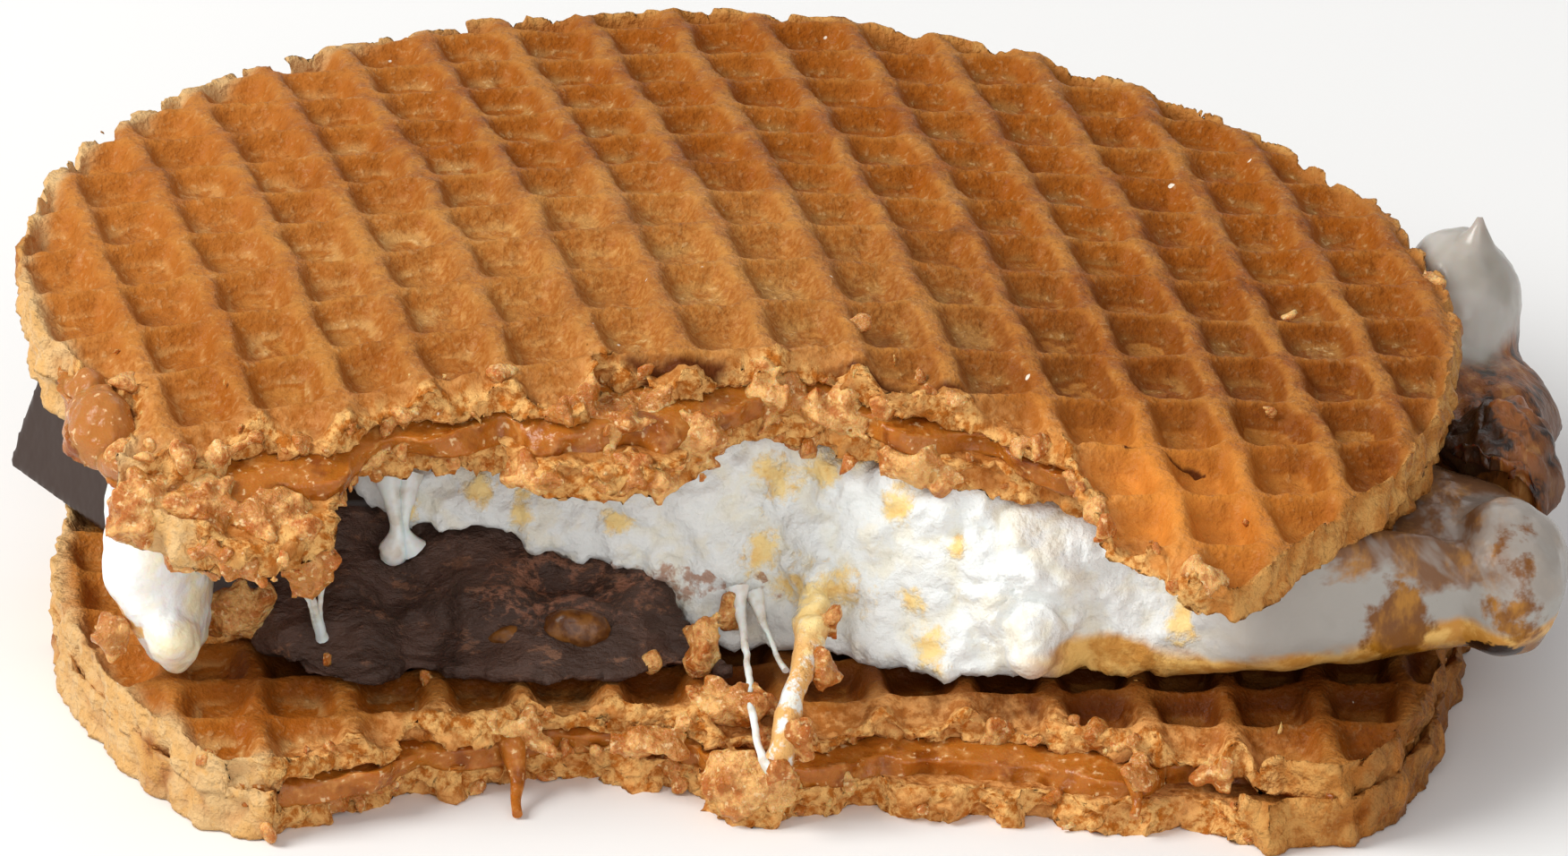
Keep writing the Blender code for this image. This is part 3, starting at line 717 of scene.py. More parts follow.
def pit_share(wires, x, y):
    """How deep a place is in its pit, from 0 on a ridge to 1 on the floor."""
    here = together(x, x, y, 0.0)
    sway_x, sway_y, _ = (here.shake(5.0, 1.0) * 1.3).parts()
    from_x = x - wires["Crossing X"] + sway_x
    from_y = y - wires["Crossing Y"] + sway_y
    cosine = wires["Turn"].math("COSINE")
    sine = wires["Turn"].math("SINE")
    across = from_x * cosine + from_y * sine
    along = from_y * cosine - from_x * sine
    troughs = hollow(along, THIN_HALF, THIN_SLOPE) * (1 - CREST_DIP) + CREST_DIP
    clear = plan_distance(wires, "Rim line", here).rise(0.0, 1.0)
    return hollow(across, BROAD_HALF, BROAD_SLOPE) * troughs * clear


def waffled(wires):
    """A waffle plate with its pits, before it is lifted or draped."""
    def pressed(x, y):
        here = together(x, x, y, 0.0)
        waves = (here.mottle(6.0, 3.0, 0.6) - 0.5) * 0.6 + (here.mottle(1.5, 3.0, 0.6) - 0.5) * 0.4
        front_corner = x.rise(12.0, 22.0) * (1.0 - y.rise(-16.0, -8.0))
        depth = (here.mottle(9.0, 2.0) - 0.5) * 0.9 - PIT_DEPTH - front_corner * 0.4
        return pit_share(wires, x, y) * depth + waves - cracks(x, y) * wires["Cracked"] * 0.5

    solid = cut_to_outline(wires, slab(wires, pressed))
    x, y, z = solid.node("GeometryNodeInputPosition").parts()
    solid = keep_value(solid, "pit", pit_share(wires, x, y) * z.rise(-1.35, -1.15))
    return crumbled(wires, solid, PINCH_DOWN)


def waffle_plate(wires):
    """The waffle plate lying flat on its syrup."""
    return lifted(wires, waffled(wires))


bottom_upper = cut_layer(
    "bottom_plate_upper", "bottom_wafer_upper", waffle_plate, radius=39.5, thickness=PLATE,
    given={
        "Cells": 260, "Height": BOTTOM_HEIGHT, "Material": BAKED, "Cracked": 0.0,
        "Turn": math.radians(4.0), "Crossing X": 0.3, "Crossing Y": 0.6,
    },
)


# --- Top stroopwafel, lower plate: a plain-looking layer of wafer crumb, softened over the warm filling.
# At the left a torn flap of it hangs over the chocolate with caramel streaked through it.
TOP_MIDDLE = Vector((-1.2, 0.0))
CROWN, CROWN_X = 24.3, -9.9  # the drape's highest level, and where across the wafer it lies
RIGHT_DROP, RIGHT_REACH = 5.5, 52.0  # how far it comes down on a side, and over what distance
LEFT_DROP, LEFT_REACH = 0.7, 29.4
BACK_DROP, BACK_REACH = 4.15, 48.6
FRONT_CURVE = 0.0060
CORNER_EASE = 0.108
LEFT_TWIST = 0.0013


def ease(share):
    """0 up to share 0 and 1 from share 1 on, with a slow start and end."""
    return (1.0 - (share.math("MINIMUM", 1.0).math("MAXIMUM", 0.0) * math.pi).math("COSINE")) * 0.5


def draped(wires, solid):
    """Lays a flat layer over the filling: highest left of the middle, and sagging towards all sides."""
    x, y, _ = solid.node("GeometryNodeInputPosition").parts()
    right = ease((x - CROWN_X) / RIGHT_REACH) * RIGHT_DROP
    left = ease((CROWN_X - x) / LEFT_REACH) * LEFT_DROP
    front = y.math("MINIMUM", 0.0)
    along = ease(y / BACK_REACH) * BACK_DROP + front * front * FRONT_CURVE
    twist = (CROWN_X - x).math("MAXIMUM", 0.0) * y * LEFT_TWIST
    rise = CROWN - right - left - along + right * along * CORNER_EASE + twist - wires["Depth"]
    return shifted(solid, together(rise, 0.0, 0.0, rise))


def plain_drape(wires):
    """The plain plate, draped over the filling."""
    return draped(wires, crumbled(wires, cut_to_outline(wires, slab(wires, level)), PINCH_UP))


top_lower = cut_layer(
    "top_plate_lower", "top_wafer_lower", plain_drape, radius=39.4, thickness=PLATE,
    given={"Cells": 170, "Depth": 3.3, "Material": BAKED}, middle=TOP_MIDDLE, crags=1.3,
)


# --- Top stroopwafel, caramel: the same syrup, softened by the heat, cracked away from the plate at the bite.
# At the left it has been squeezed out and runs down over the rim.
OOZE = (
    # middle, half size and turn of each lobe of the ooze along the rim
    ((-36.4, -14.3, 19.9), (2.2, 3.5, 2.3), (0.0, 0.12, 0.40)),
    ((-34.5, -17.2, 19.0), (2.0, 2.6, 1.7), (0.0, 0.3, 0.62)),
    ((-37.4, -11.6, 20.6), (1.3, 2.6, 1.3), (0.0, 0.0, 0.30)),
)


def pushed(solid, height):
    """Moves every point along its normal by this many millimetres."""
    return shifted(solid, solid.node("GeometryNodeInputNormal") * together(height, height, height, height))


def ball(wire, fineness):
    """A ball of radius 1, to be stretched into a lump."""
    return wire.node("GeometryNodeMeshIcoSphere", None, {"Radius": 1.0, "Subdivisions": fineness}, "Mesh")


def stretched(lump, middle, half, turn=(0.0, 0.0, 0.0)):
    """The ball given its half sizes, turned and put in its place."""
    place = {"Geometry": lump, "Translation": middle, "Scale": half, "Rotation": turn}
    return lump.node("GeometryNodeTransform", None, place)


def joined(solids):
    """Several solids as one geometry."""
    return solids[0].node("GeometryNodeJoinGeometry", None, {"Geometry": solids})


def draped_syrup(wires):
    """The slab of syrup laid over the filling, and the lobes that it has oozed out into at the left."""
    solids = [draped(wires, waved_syrup(wires))]
    drop = ball(wires["Start"], 5)
    spot = drop.node("GeometryNodeInputPosition")
    narrow = 1.0 - spot.parts()[2].rise(-0.2, 1.0) * 0.35
    drop = placed(drop, spot * together(narrow, narrow, narrow, 1.0))
    for middle, half, turn in OOZE:
        lobe = stretched(drop, middle, half, turn)
        spot = lobe.node("GeometryNodeInputPosition")
        lobe = pushed(lobe, (spot.mottle(3.0, 2.0) - 0.5) * 1.6)
        solids.append(keep_value(lobe, "to_bite", OOZE_MARK))
    return joined(solids)


cut_layer(
    "top_caramel_syrup", "top_caramel", draped_syrup, radius=39.1, thickness=CARAMEL_PRESSED,
    given={"Cells": 150, "Depth": 1.95, "Material": SYRUPY},
    middle=TOP_MIDDLE, crags=0.9, grit=0.3, wander=0.8,
)


# --- Top stroopwafel, upper plate: the waffle with its grid, pressed down softly over the filling.
# The bite leaves a ragged crumb edge, and the thin front corner at the right bends down.
def waffle_drape(wires):
    """The waffle plate, draped over the filling."""
    return draped(wires, waffled(wires))


top_upper = cut_layer(
    "top_plate_upper", "top_wafer_upper", waffle_drape, radius=40.0, thickness=PLATE,
    given={
        "Cells": 340, "Depth": 0.0, "Material": BAKED, "Cracked": 1.0,
        "Turn": math.radians(11.8), "Crossing X": 8.15, "Crossing Y": 0.8,
    },
    middle=TOP_MIDDLE,
)


# --- Chocolate: a piece of dark chocolate bar, smooth and square at the left, bitten off slantwise in front.
# The break is conchoidal and flaky, with lighter brown scuffs where it was crushed.
def cad_copy(node):
    """A merged copy of a CAD node's mesh, in millimetres."""
    bm = merged(node)
    bmesh.ops.scale(bm, vec=(1 / MM,) * 3, verts=bm.verts)
    bmesh.ops.translate(bm, vec=FOOTPRINT_MIDDLE, verts=bm.verts)
    mesh = bpy.data.meshes.new(node + "_copy")
    bm.to_mesh(mesh)
    bm.free()
    return mesh


def from_cad(name, node, rule, given, grain=0.35):
    """A piece made from the CAD node's own form with a finer skin, in the node's place."""
    piece = moulded(name, rule, given, start=cad_copy(node), grain=grain)
    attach(piece, "root")
    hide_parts(node)
    return piece


def scoops(spot, size, smooth=0.4):
    """Shell-shaped hollows with ridges between them, as chocolate breaks: 0 in a hollow, 1 on a ridge."""
    cells = {"voronoi_dimensions": "3D", "feature": "SMOOTH_F1"}
    look = {"Vector": spot, "Scale": 1 / size, "Smoothness": smooth}
    return spot.node("ShaderNodeTexVoronoi", cells, look, "Distance")


def snapped_off(wires):
    """The slab with its bitten front broken into shells and grit, and its moulded faces left smooth."""
    solid = wires["Start"]
    x, y, _ = solid.node("GeometryNodeInputPosition").parts()
    solid = keep_value(solid, "broken", (1.0 - y.rise(-7.6, -6.2)) * x.rise(-29.4, -27.8))
    spot = solid.node("GeometryNodeInputPosition")
    warped = spot * (0.75, 1.0, 1.25) + (spot.mottle(2.5, 2.0) - 0.5) * 2.5
    height = scoops(warped, 4.2, 0.35) * 1.7 + scoops(warped * (1.0, 1.0, 1.6), 1.2, 0.2) * 0.3 - 0.95
    solid = pushed(solid, carried(solid, "broken") * height)
    spot = solid.node("GeometryNodeInputPosition")
    return pushed(solid, carried(solid, "broken") * (spot.mottle(0.5, 3.0, 0.6) - 0.5) * 0.35)


CHOCOLATE_DARK = (0.094, 0.051, 0.037)
CHOCOLATE_SMOOTH = (0.036, 0.019, 0.013)
CHOCOLATE_SCUFF = (0.22, 0.105, 0.060)
CHOCOLATE_SMEAR = (0.30, 0.13, 0.075)


def patch(place, middle, half, fray=0.6):
    """1 inside an uneven patch of this middle and half size, and 0 outside it."""
    away = (place - middle) / half
    return 1.0 - (away.math("LENGTH") + (place.mottle(1.1, 3.0) - 0.5) * 2.0 * fray).rise(0.85, 1.0)


def dark_chocolate(place):
    """Dark chocolate: satin on its moulded faces, dull and scuffed with brown where it is broken."""
    broken = stored(place, "broken")
    flat = place * (0.7, 1.0, 1.5)
    scuff = flat.mottle(1.6, 5.0, 0.75).rise(0.56, 0.66) * broken
    smear = patch(place, (-10.5, -13.0, 9.0), (6.0, 6.0, 1.6), 1.0)
    smear = smear * place.mottle(1.1, 4.0, 0.7).rise(0.45, 0.6)
    colour = broken.mixed(CHOCOLATE_SMOOTH, CHOCOLATE_DARK)
    colour = (place.mottle(3.0, 3.0).rise(0.4, 0.6) * broken * 0.6).mixed(colour, CHOCOLATE_SMOOTH)
    colour = (scuff * 0.8).mixed(colour, CHOCOLATE_SCUFF)
    colour = (smear * 0.85).mixed(colour, CHOCOLATE_SMEAR)
    creases = scoops(flat + (flat.mottle(2.0, 2.0) - 0.5) * 2.0, 2.6, 0.1) * 0.5
    height = (flat.mottle(0.45, 4.0, 0.65) * 0.3 + creases) * broken + place.mottle(1.5, 2.0) * 0.06
    return {
        "Base Color": colour,
        "Roughness": scuff * 0.3 + 0.34 + place.mottle(2.0) * 0.15,
        "Normal": bumps(height),
    }


CHOCOLATE = coating("dark_chocolate", dark_chocolate, Specular_IOR_Level=0.25)

from_cad("chocolate_slab", "chocolate", snapped_off, {"Material": CHOCOLATE}, grain=0.3)


# --- Front marshmallow: toasted, melted and bitten, so its white foam shows at the front.
# Flakes of toasted skin lie on the foam; to the right its skin is whole, glossy and grey-white.
DRIP_ROOTS = (
    # middle and half size of the places where a drip flows out of the foam
    ((3.3, -14.0, 11.4), (3.6, 4.5, 3.4)),
    ((15.2, -17.5, 10.2), (4.2, 4.5, 3.0)),
)


def softened(solid, times, share=1.0):
    """Evens out the lumps of a melted surface, everywhere or by a share that differs over it."""
    spot = solid.node("GeometryNodeInputPosition")
    even = {"Value": spot, "Iterations": times, "Weight": share}
    even = solid.node("GeometryNodeBlurAttribute", {"data_type": "FLOAT_VECTOR"}, even, "Value")
    return placed(solid, even)


def bitten_foam(wires):
    """The melted marshmallow, puffed up into billows and froth where the bite laid its foam bare."""
    solid = softened(wires["Start"], 14)
    for middle, half in DRIP_ROOTS:
        spot = solid.node("GeometryNodeInputPosition")
        solid = softened(solid, 90, oval(spot, middle, half, 0.75, 1.0))
    x, _, _ = solid.node("GeometryNodeInputPosition").parts()
    _, facing, _ = solid.node("GeometryNodeInputNormal").parts()
    solid = keep_value(solid, "foam", (facing * -1.0).rise(-0.1, 0.4) * (1.0 - x.rise(20.5, 28.5)))
    foam = carried(solid, "foam")
    spot = solid.node("GeometryNodeInputPosition")
    x, y, z = spot.parts()
    puffs = abs(spot.mottle(4.6, 2.0) - 0.5) * 2.0
    small = abs(spot.mottle(1.9, 2.0) - 0.5) * 2.0
    froth = spot.mottle(0.9, 3.0, 0.6) - 0.5
    swell = oval(together(x, x, 0.0, z), (15.0, 0.0, 11.4), (5.6, 1.0, 4.4), 0.1, 1.0)
    drip = (1.0 - z.rise(7.4, 8.6)) * (1.0 - y.rise(-17.4, -16.6))
    billows = foam * (1.0 - drip.math("MAXIMUM", 1.0 - y.rise(-20.0, -18.6)))
    height = billows * (puffs * 2.0 + small * 0.9 + froth * 0.85 + swell * 1.5 - 0.3)
    height = height + (1.0 - foam) * (spot.mottle(5.0, 2.0) - 0.5) * 1.4 + 0.15
    return keep_value(pushed(solid, height), "puffed", puffs * 0.7 + small * 0.3)


FOAM = (0.82, 0.845, 0.83)
FOAM_CREAM = (0.82, 0.74, 0.52)
SKIN = (0.39, 0.365, 0.33)
FLAKE_PALE = (0.95, 0.70, 0.27)
FLAKE = (0.86, 0.52, 0.12)
GOLDEN = (0.82, 0.50, 0.15)
GOLDEN_DEEP = (0.60, 0.28, 0.055)
TOAST_AMBER = (0.46, 0.19, 0.014)
TOAST_BROWN = (0.19, 0.060, 0.003)
CHAR = (0.020, 0.008, 0.004)
CHOCOLATE_TRACE = (0.42, 0.20, 0.11)
FLAKES = (
    # x, z and half sizes of the flakes of toasted skin
    (1.1, 15.0, 1.3, 1.0), (3.6, 15.9, 1.0, 0.9), (4.8, 16.7, 1.0, 0.8), (7.7, 14.8, 0.8, 1.3),
    (3.4, 9.4, 2.5, 1.3), (0.2, 10.8, 0.9, 1.5), (8.6, 9.3, 0.8, 0.7), (9.5, 7.0, 1.0, 1.0),
    (11.0, 12.9, 0.6, 0.5), (-13.3, 12.3, 0.6, 1.1), (-15.5, 13.4, 0.8, 0.8), (-7.9, 12.1, 0.9, 0.6),
    (23.5, 9.2, 0.8, 1.2), (-19.6, 12.0, 0.5, 1.0),
)
BROWNED = (
    # middle and half size of the spots that the fire browned
    ((35.6, -17.6, 9.0), (2.5, 7.0, 3.6)),
    ((42.0, -13.5, 9.6), (2.2, 6.0, 4.2)),
)


def front_skin(place):
    """White foam and grey-white skin, with flakes, traces of the other food and toasting laid over them."""
    x, y, z = place.parts()
    foam = stored(place, "foam")
    streaks = (place * (1.0, 0.6, 1.4)).mottle(3.0, 4.0, 0.6)

    # The foam, creamier in its hollows, and the whole skin at the right
    cream = place.mottle(3.2, 4.0, 0.6).rise(0.54, 0.66) * 0.4
    cream = cream.math("MAXIMUM", (1.0 - stored(place, "puffed").rise(0.0, 0.14)) * 0.5)
    colour = foam.mixed(SKIN, cream.mixed(FOAM, FOAM_CREAM))

    # Flakes of toasted skin
    flat = together(x, x, 0.0, z)
    flakes = []
    for flake_x, flake_z, half_x, half_z in FLAKES:
        away = ((flat - (flake_x, 0.0, flake_z)) / (half_x, 9.0, half_z)).math("LENGTH")
        flakes.append(1.0 - (away + (place.mottle(0.9, 4.0, 0.65) - 0.5) * 3.0).rise(0.4, 1.3))
    flakes = strongest(flakes)
    flake_colour = place.mottle(1.0, 4.0, 0.6).rise(0.45, 0.7).mixed(FLAKE_PALE, FLAKE)
    colour = (flakes * 0.9).mixed(colour, flake_colour)

    # A smear of chocolate where the foam lies on it, and crumb on the strand that hangs down in front
    smear = patch(place, (-5.0, -12.0, 8.8), (4.8, 6.0, 1.0), 1.4)
    smear = smear * place.mottle(1.0, 4.0, 0.65).rise(0.42, 0.6)
    colour = (smear * 0.8).mixed(colour, CHOCOLATE_TRACE)
    strand = (1.0 - y.rise(-17.6, -16.6)) * x.rise(-1.0, -0.6) * (1.0 - x.rise(4.6, 5.4))
    crusted = strand * (1.0 - z.rise(8.6, 9.6)) * place.mottle(1.3, 4.0, 0.65).rise(0.40, 0.52)
    colour = crusted.mixed(colour, CRUMB)

    # Golden toasting along the underside
    low = z + (place.mottle(3.2, 3.0) - 0.5) * 2.6 - x.rise(24.0, 36.0) * 0.8
    under = (1.0 - low.rise(7.3, 8.2)) * x.rise(13.5, 17.5)
    golden = place.mottle(1.6, 4.0, 0.6).rise(0.4, 0.6).mixed(GOLDEN_DEEP, GOLDEN)
    colour = under.mixed(colour, golden)

    # Browning at the right end: runs from its top, its far side and foot, and two spots
    glaze = (z + (x - 30.0) * 0.28 + (streaks - 0.5) * 6.0).rise(13.2, 14.4) * x.rise(24.0, 30.0)
    runs = together(x, x + z * 0.7, y * 0.5, z * 0.35).mottle(1.7, 3.0, 0.6)
    glaze = glaze * (0.45 + runs.rise(0.36, 0.52) * 0.55)
    glaze = glaze * (1.0 - (x + (streaks - 0.5) * 8.0).rise(39.5, 42.5) * 0.8)
    far_end = (y + (streaks - 0.5) * 8.0).rise(-8.5, -6.0) * x.rise(31.0, 34.0)
    foot = (1.0 - (z + (streaks - 0.5) * 2.0).rise(6.8, 8.2)) * x.rise(31.0, 35.0)
    browned = []
    for middle, half in BROWNED:
        away = ((place - middle) / half).math("LENGTH")
        browned.append(1.0 - (away + (place.mottle(1.5, 4.0, 0.6) - 0.5) * 1.6).rise(0.6, 0.95))
    browned += [glaze.math("MAXIMUM", far_end) * 0.9, foot * 0.9]
    deep = (place * (1.0, 0.6, 0.5)).mottle(1.4, 4.0, 0.65).rise(0.45, 0.72)
    colour = (strongest(browned) * 0.95).mixed(colour, deep.mixed(TOAST_BROWN, TOAST_AMBER))
    colour = patch(place, (41.0, -14.5, 7.0), (1.6, 5.0, 1.0), 0.8).mixed(colour, CHAR)

    froth = place.mottle(0.55, 4.0, 0.6) * 0.25 + place.mottle(1.3, 3.0) * 0.2
    height = foam * froth + (1.0 - foam) * place.mottle(1.8, 3.0) * 0.15 + flakes * 0.1
    return {
        "Base Color": colour,
        "Roughness": foam * 0.4 + 0.24 + flakes * 0.1,
        "Normal": bumps(height),
    }


FRONT_SKIN = coating(
    "front_marshmallow_skin", front_skin, Subsurface_Weight=0.15, Subsurface_Scale=0.0015,
    Subsurface_Radius=(1.0, 0.9, 0.8), Specular_IOR_Level=0.22,
)
from_cad(
    "marshmallow_bitten", "marshmallow_front", bitten_foam, {"Material": FRONT_SKIN}, grain=0.3,
)


# --- Back marshmallow: its skin is charred where it bulges out at the right, brown round that.
# A white lobe of melted foam stands up behind the wafer's rim, drawn out to a tip.
def melted_lump(wires):
    """The lump, folded and wrinkled where it is burnt, and drawn out to a tip on its white lobe."""
    solid = softened(wires["Start"], 8)
    spot = solid.node("GeometryNodeInputPosition")
    _, y, z = spot.parts()
    burnt = 1.0 - (y - (z - 14.0) * 0.3).rise(6.0, 8.0)
    folds = abs((spot * (1.0, 1.0, 0.45)).mottle(3.4, 1.5) - 0.5) * 2.0
    wrinkles = abs((spot * (1.0, 1.2, 0.35)).mottle(2.2, 1.0) - 0.5) * 2.0
    dent = oval(spot, (41.5, -4.5, 13.0), (4.0, 3.4, 2.6), 0.2, 1.0)
    height = (spot.mottle(4.0, 3.0) - 0.5) * 1.2 + (folds - 0.3) * 2.0 * burnt
    solid = pushed(solid, height + (wrinkles - 0.3) * 0.9 * burnt + 0.1 - dent * 1.3)
    x, y, z = solid.node("GeometryNodeInputPosition").parts()
    from_tip = ((x - 40.6) * (x - 40.6) + (y - 14.5) * (y - 14.5)).math("SQRT")
    near_tip = 1.0 - (from_tip / 1.5).math("MINIMUM", 1.0)
    drawn = near_tip * near_tip * 2.0 * z.math("GREATER_THAN", 15.0)
    return shifted(solid, together(x, 0.0, 0.0, drawn))


CHAR_BROWN = (0.27, 0.085, 0.014)
CHAR_TAN = (0.52, 0.24, 0.06)
LOBE_SHADE_GREY = (0.36, 0.32, 0.27)
LOBE_SHADE_PALE = (0.47, 0.44, 0.40)


def charred_skin(place):
    """Streaks of char and brown on the bulge, and painted shade greying the white lobe."""
    x, y, z = place.parts()
    ragged = (place.mottle(2.0, 3.0) - 0.5) * 2.0
    lobe = (y + ragged).rise(7.6, 9.6) * (z + ragged * 1.5 - x.rise(40.5, 42.5) * 1.8).rise(10.2, 12.4)
    streaks = (place * (1.0, 1.0, 0.35)).mottle(1.5, 4.0, 0.65)
    skin = streaks.rise(0.48, 0.66).mixed(CHAR_BROWN, CHAR)
    skin = ((1.0 - streaks.rise(0.34, 0.46)) * 0.6).mixed(skin, CHAR_TAN)
    sunk = patch(place, (39.6, -2.5, 13.6), (2.4, 6.0, 2.6), 0.5)
    skin = (sunk.math("MAXIMUM", x.rise(43.0, 44.4) * 0.7) * 0.85).mixed(skin, CHAR)
    # Painted shade: the lobe's white foam coloured grey-white, as it faces away from the light
    colour = lobe.mixed(skin, place.mottle(4.0, 2.0).rise(0.35, 0.6).mixed(LOBE_SHADE_GREY, LOBE_SHADE_PALE))
    height = streaks * 0.3 * (1.0 - lobe) + place.mottle(2.0) * 0.1
    return {"Base Color": colour, "Roughness": 0.42 - lobe * 0.14, "Normal": bumps(height)}


CHARRED = coating(
    "charred_skin", charred_skin, Subsurface_Weight=0.2, Subsurface_Scale=0.002, Specular_IOR_Level=0.5,
)
from_cad("marshmallow_charred", "marshmallow_back", melted_lump, {"Material": CHARRED})


# --- Left marshmallow: a small white lump squeezed out over the chocolate's edge, its end melted and
# dripping. Cream and pale yellow where the heat caught it.
LUMP_MIDDLE_X, LUMP_MIDDLE_Y = -31.6, -15.5


def squeezed_lump(wires):
    """The lump, drawn thinner towards its foot and slightly uneven."""
    solid = softened(wires["Start"], 8)
    x, y, z = solid.node("GeometryNodeInputPosition").parts()
    narrow = z.rise(5.0, 11.0) * 0.5 - 0.5
    inwards = together(x, (x - LUMP_MIDDLE_X) * narrow, (y - LUMP_MIDDLE_Y) * narrow, 0.0)
    solid = shifted(solid, inwards)
    spot = solid.node("GeometryNodeInputPosition")
    return pushed(solid, (spot.mottle(2.8, 2.0) - 0.5) * 1.3 + 0.15)


HEATED_CREAM = (0.88, 0.80, 0.50)
TOAST = (0.72, 0.42, 0.13)


def creamy_skin(place):
    """White foam, cream towards the right, with one toasted spot low on the left."""
    cream = place.mottle(2.2, 3.0).rise(0.42, 0.62) * place.parts()[0].rise(-34.8, -32.8)
    colour = (cream * 0.8).mixed(FOAM, HEATED_CREAM)
    colour = patch(place, (-35.6, -16.1, 8.2), (1.3, 3.0, 1.2), 0.8).mixed(colour, TOAST)
    height = place.mottle(1.0, 3.0) * 0.25
    return {"Base Color": colour, "Roughness": 0.3 + cream * 0.1, "Normal": bumps(height)}


CREAMY = coating(
    "creamy_skin", creamy_skin, Subsurface_Weight=0.35, Subsurface_Scale=0.003, Specular_IOR_Level=0.5,
)
from_cad(
    "marshmallow_dripping", "marshmallow_left", squeezed_lump, {"Material": CREAMY}, grain=0.25,
)


# --- Crumbs: bits of wafer broken off by the bites, stuck to the torn edges and to the melted filling.
# Baked wafer, each bit another shape and mostly under a millimetre; some are soaked with caramel.
TABLE_CLEARANCE = 0.02
HEAPS = (
    # middle and half size of the bigger clumps
    ((-0.6, -23.6, 2.0), (2.5, 1.5, 1.9)), ((-1.4, -19.8, 5.2), (2.4, 1.2, 1.1)),
    ((-3.1, -16.2, 6.6), (0.8, 0.8, 1.4)), ((-1.4, -13.4, 7.8), (0.6, 0.5, 1.0)),
    ((3.9, -17.6, 9.2), (0.6, 0.4, 1.0)), ((3.3, -20.3, 7.6), (0.6, 0.5, 1.2)),
    ((2.2, -24.6, 5.2), (0.8, 0.6, 1.0)), ((0.9, -25.8, 3.9), (0.8, 0.5, 0.7)),
    ((-29.0, -12.4, 7.3), (2.0, 1.0, 1.5)), ((-24.0, -16.4, 6.2), (0.25, 0.25, 0.5)),
    ((-36.0, -16.6, 8.0), (1.0, 0.7, 1.1)), ((-34.2, -20.3, 17.2), (1.8, 1.6, 1.9)),
    ((-30.6, -20.2, 17.4), (2.7, 1.9, 1.6)), ((-26.8, -20.8, 16.7), (2.5, 1.7, 1.9)),
    ((-30.6, -21.2, 15.4), (2.6, 1.0, 1.2)), ((-25.0, -20.0, 14.3), (1.5, 1.3, 1.9)),
    ((-8.5, -14.4, 20.4), (3.2, 2.0, 0.9)), ((-4.0, -14.8, 19.4), (2.2, 1.6, 1.3)),
    ((-7.6, -17.0, 18.1), (3.0, 1.2, 1.1)), ((-12.0, -16.8, 18.2), (1.8, 1.0, 1.1)),
    ((0.8, -11.8, 20.4), (2.0, 1.0, 1.1)), ((4.6, -12.3, 19.6), (2.0, 0.9, 1.0)),
    ((9.0, -14.3, 17.6), (2.2, 0.9, 0.9)), ((-13.0, -20.0, 3.2), (1.4, 0.7, 0.9)),
    ((-6.2, -20.6, 3.3), (2.0, 0.7, 0.7)), ((21.0, -24.7, 3.2), (0.9, 0.8, 0.8)),
    ((25.4, -24.4, 3.0), (1.3, 0.7, 0.5)), ((37.6, 7.6, 18.0), (0.8, 1.3, 0.7)),
    ((28.2, -10.8, 18.9), (0.35, 0.3, 0.3)), ((29.6, 0.7, 19.5), (0.3, 0.3, 0.25)),
    ((-21.0, -16.0, 5.2), (0.5, 0.3, 0.3)), ((-18.5, -16.2, 5.2), (0.4, 0.3, 0.25)),
    ((-6.2, -15.3, 6.0), (0.6, 0.3, 0.3)), ((-2.4, -15.6, 8.4), (0.3, 0.3, 0.5)),
)


def strewn(wires):
    """Crumbs scattered over the bitten edges and the clumps, more of them where the clumps are."""
    torn = []
    for label in ("Upper", "Lower", "Upper below", "Lower below"):
        plate = wires["Start"].node("GeometryNodeObjectInfo", None, {"Object": wires[label]}, "Geometry")
        larger = {"Geometry": plate, "Scale": 1 / MM, "Translation": FOOTPRINT_MIDDLE}
        torn.append(plate.node("GeometryNodeTransform", None, larger))
    plates = joined(torn)
    heaps = joined([stretched(ball(wires["Start"], 4), middle, half) for middle, half in HEAPS])
    _, _, z = plates.node("GeometryNodeInputPosition").parts()
    to_bite = carried(plates, "to_bite")
    near = 1.0 - to_bite.rise(0.3, 1.2) * 0.96 - to_bite.rise(3.0, 7.0) * 0.04
    near = near * (0.55 + z.rise(8.0, 10.0) * 0.45)
    bits = []
    for source, share, density, smallest, largest, seed in (
        (plates, near, wires["Edge crumbs"], 0.18, 0.95, 3),
        (heaps, 1.0, wires["Clump crumbs"], 0.22, 0.8, 8),
    ):
        where = {"Mesh": source, "Density Max": density, "Density Factor": share}
        where.update({"Distance Min": 0.4, "Seed": seed})
        apart = {"distribute_method": "POISSON"}
        points = source.node("GeometryNodeDistributePointsOnFaces", apart, where, "Points")
        chance = points.node("FunctionNodeRandomValue", {"data_type": "FLOAT"}, {"Seed": seed}, "Value_001")
        scale = (chance * chance * chance * chance) * (largest - smallest) + smallest
        turn = {"Min": (0.0, 0.0, 0.0), "Max": (6.28, 6.28, 6.28), "Seed": seed + 1}
        turn = points.node("FunctionNodeRandomValue", {"data_type": "FLOAT_VECTOR"}, turn, "Value")
        size = together(scale, scale, scale * 0.85, scale * 0.65)
        put = {"Points": points, "Instance": ball(points, 2), "Rotation": turn, "Scale": size}
        bits.append(points.node("GeometryNodeInstanceOnPoints", None, put))
    loose = joined([*bits, heaps])
    loose = loose.node("GeometryNodeRealizeInstances", None, {"Geometry": loose})
    spot = loose.node("GeometryNodeInputPosition")
    loose = shifted(loose, spot.shake(1.4, 1.0) * 1.8 + spot.shake(0.45) * 0.4)
    x, y, z = loose.node("GeometryNodeInputPosition").parts()
    return placed(loose, together(x, x, y, z.math("MAXIMUM", TABLE_CLEARANCE)))


CRUMB_GLINT = (0.90, 0.66, 0.34)


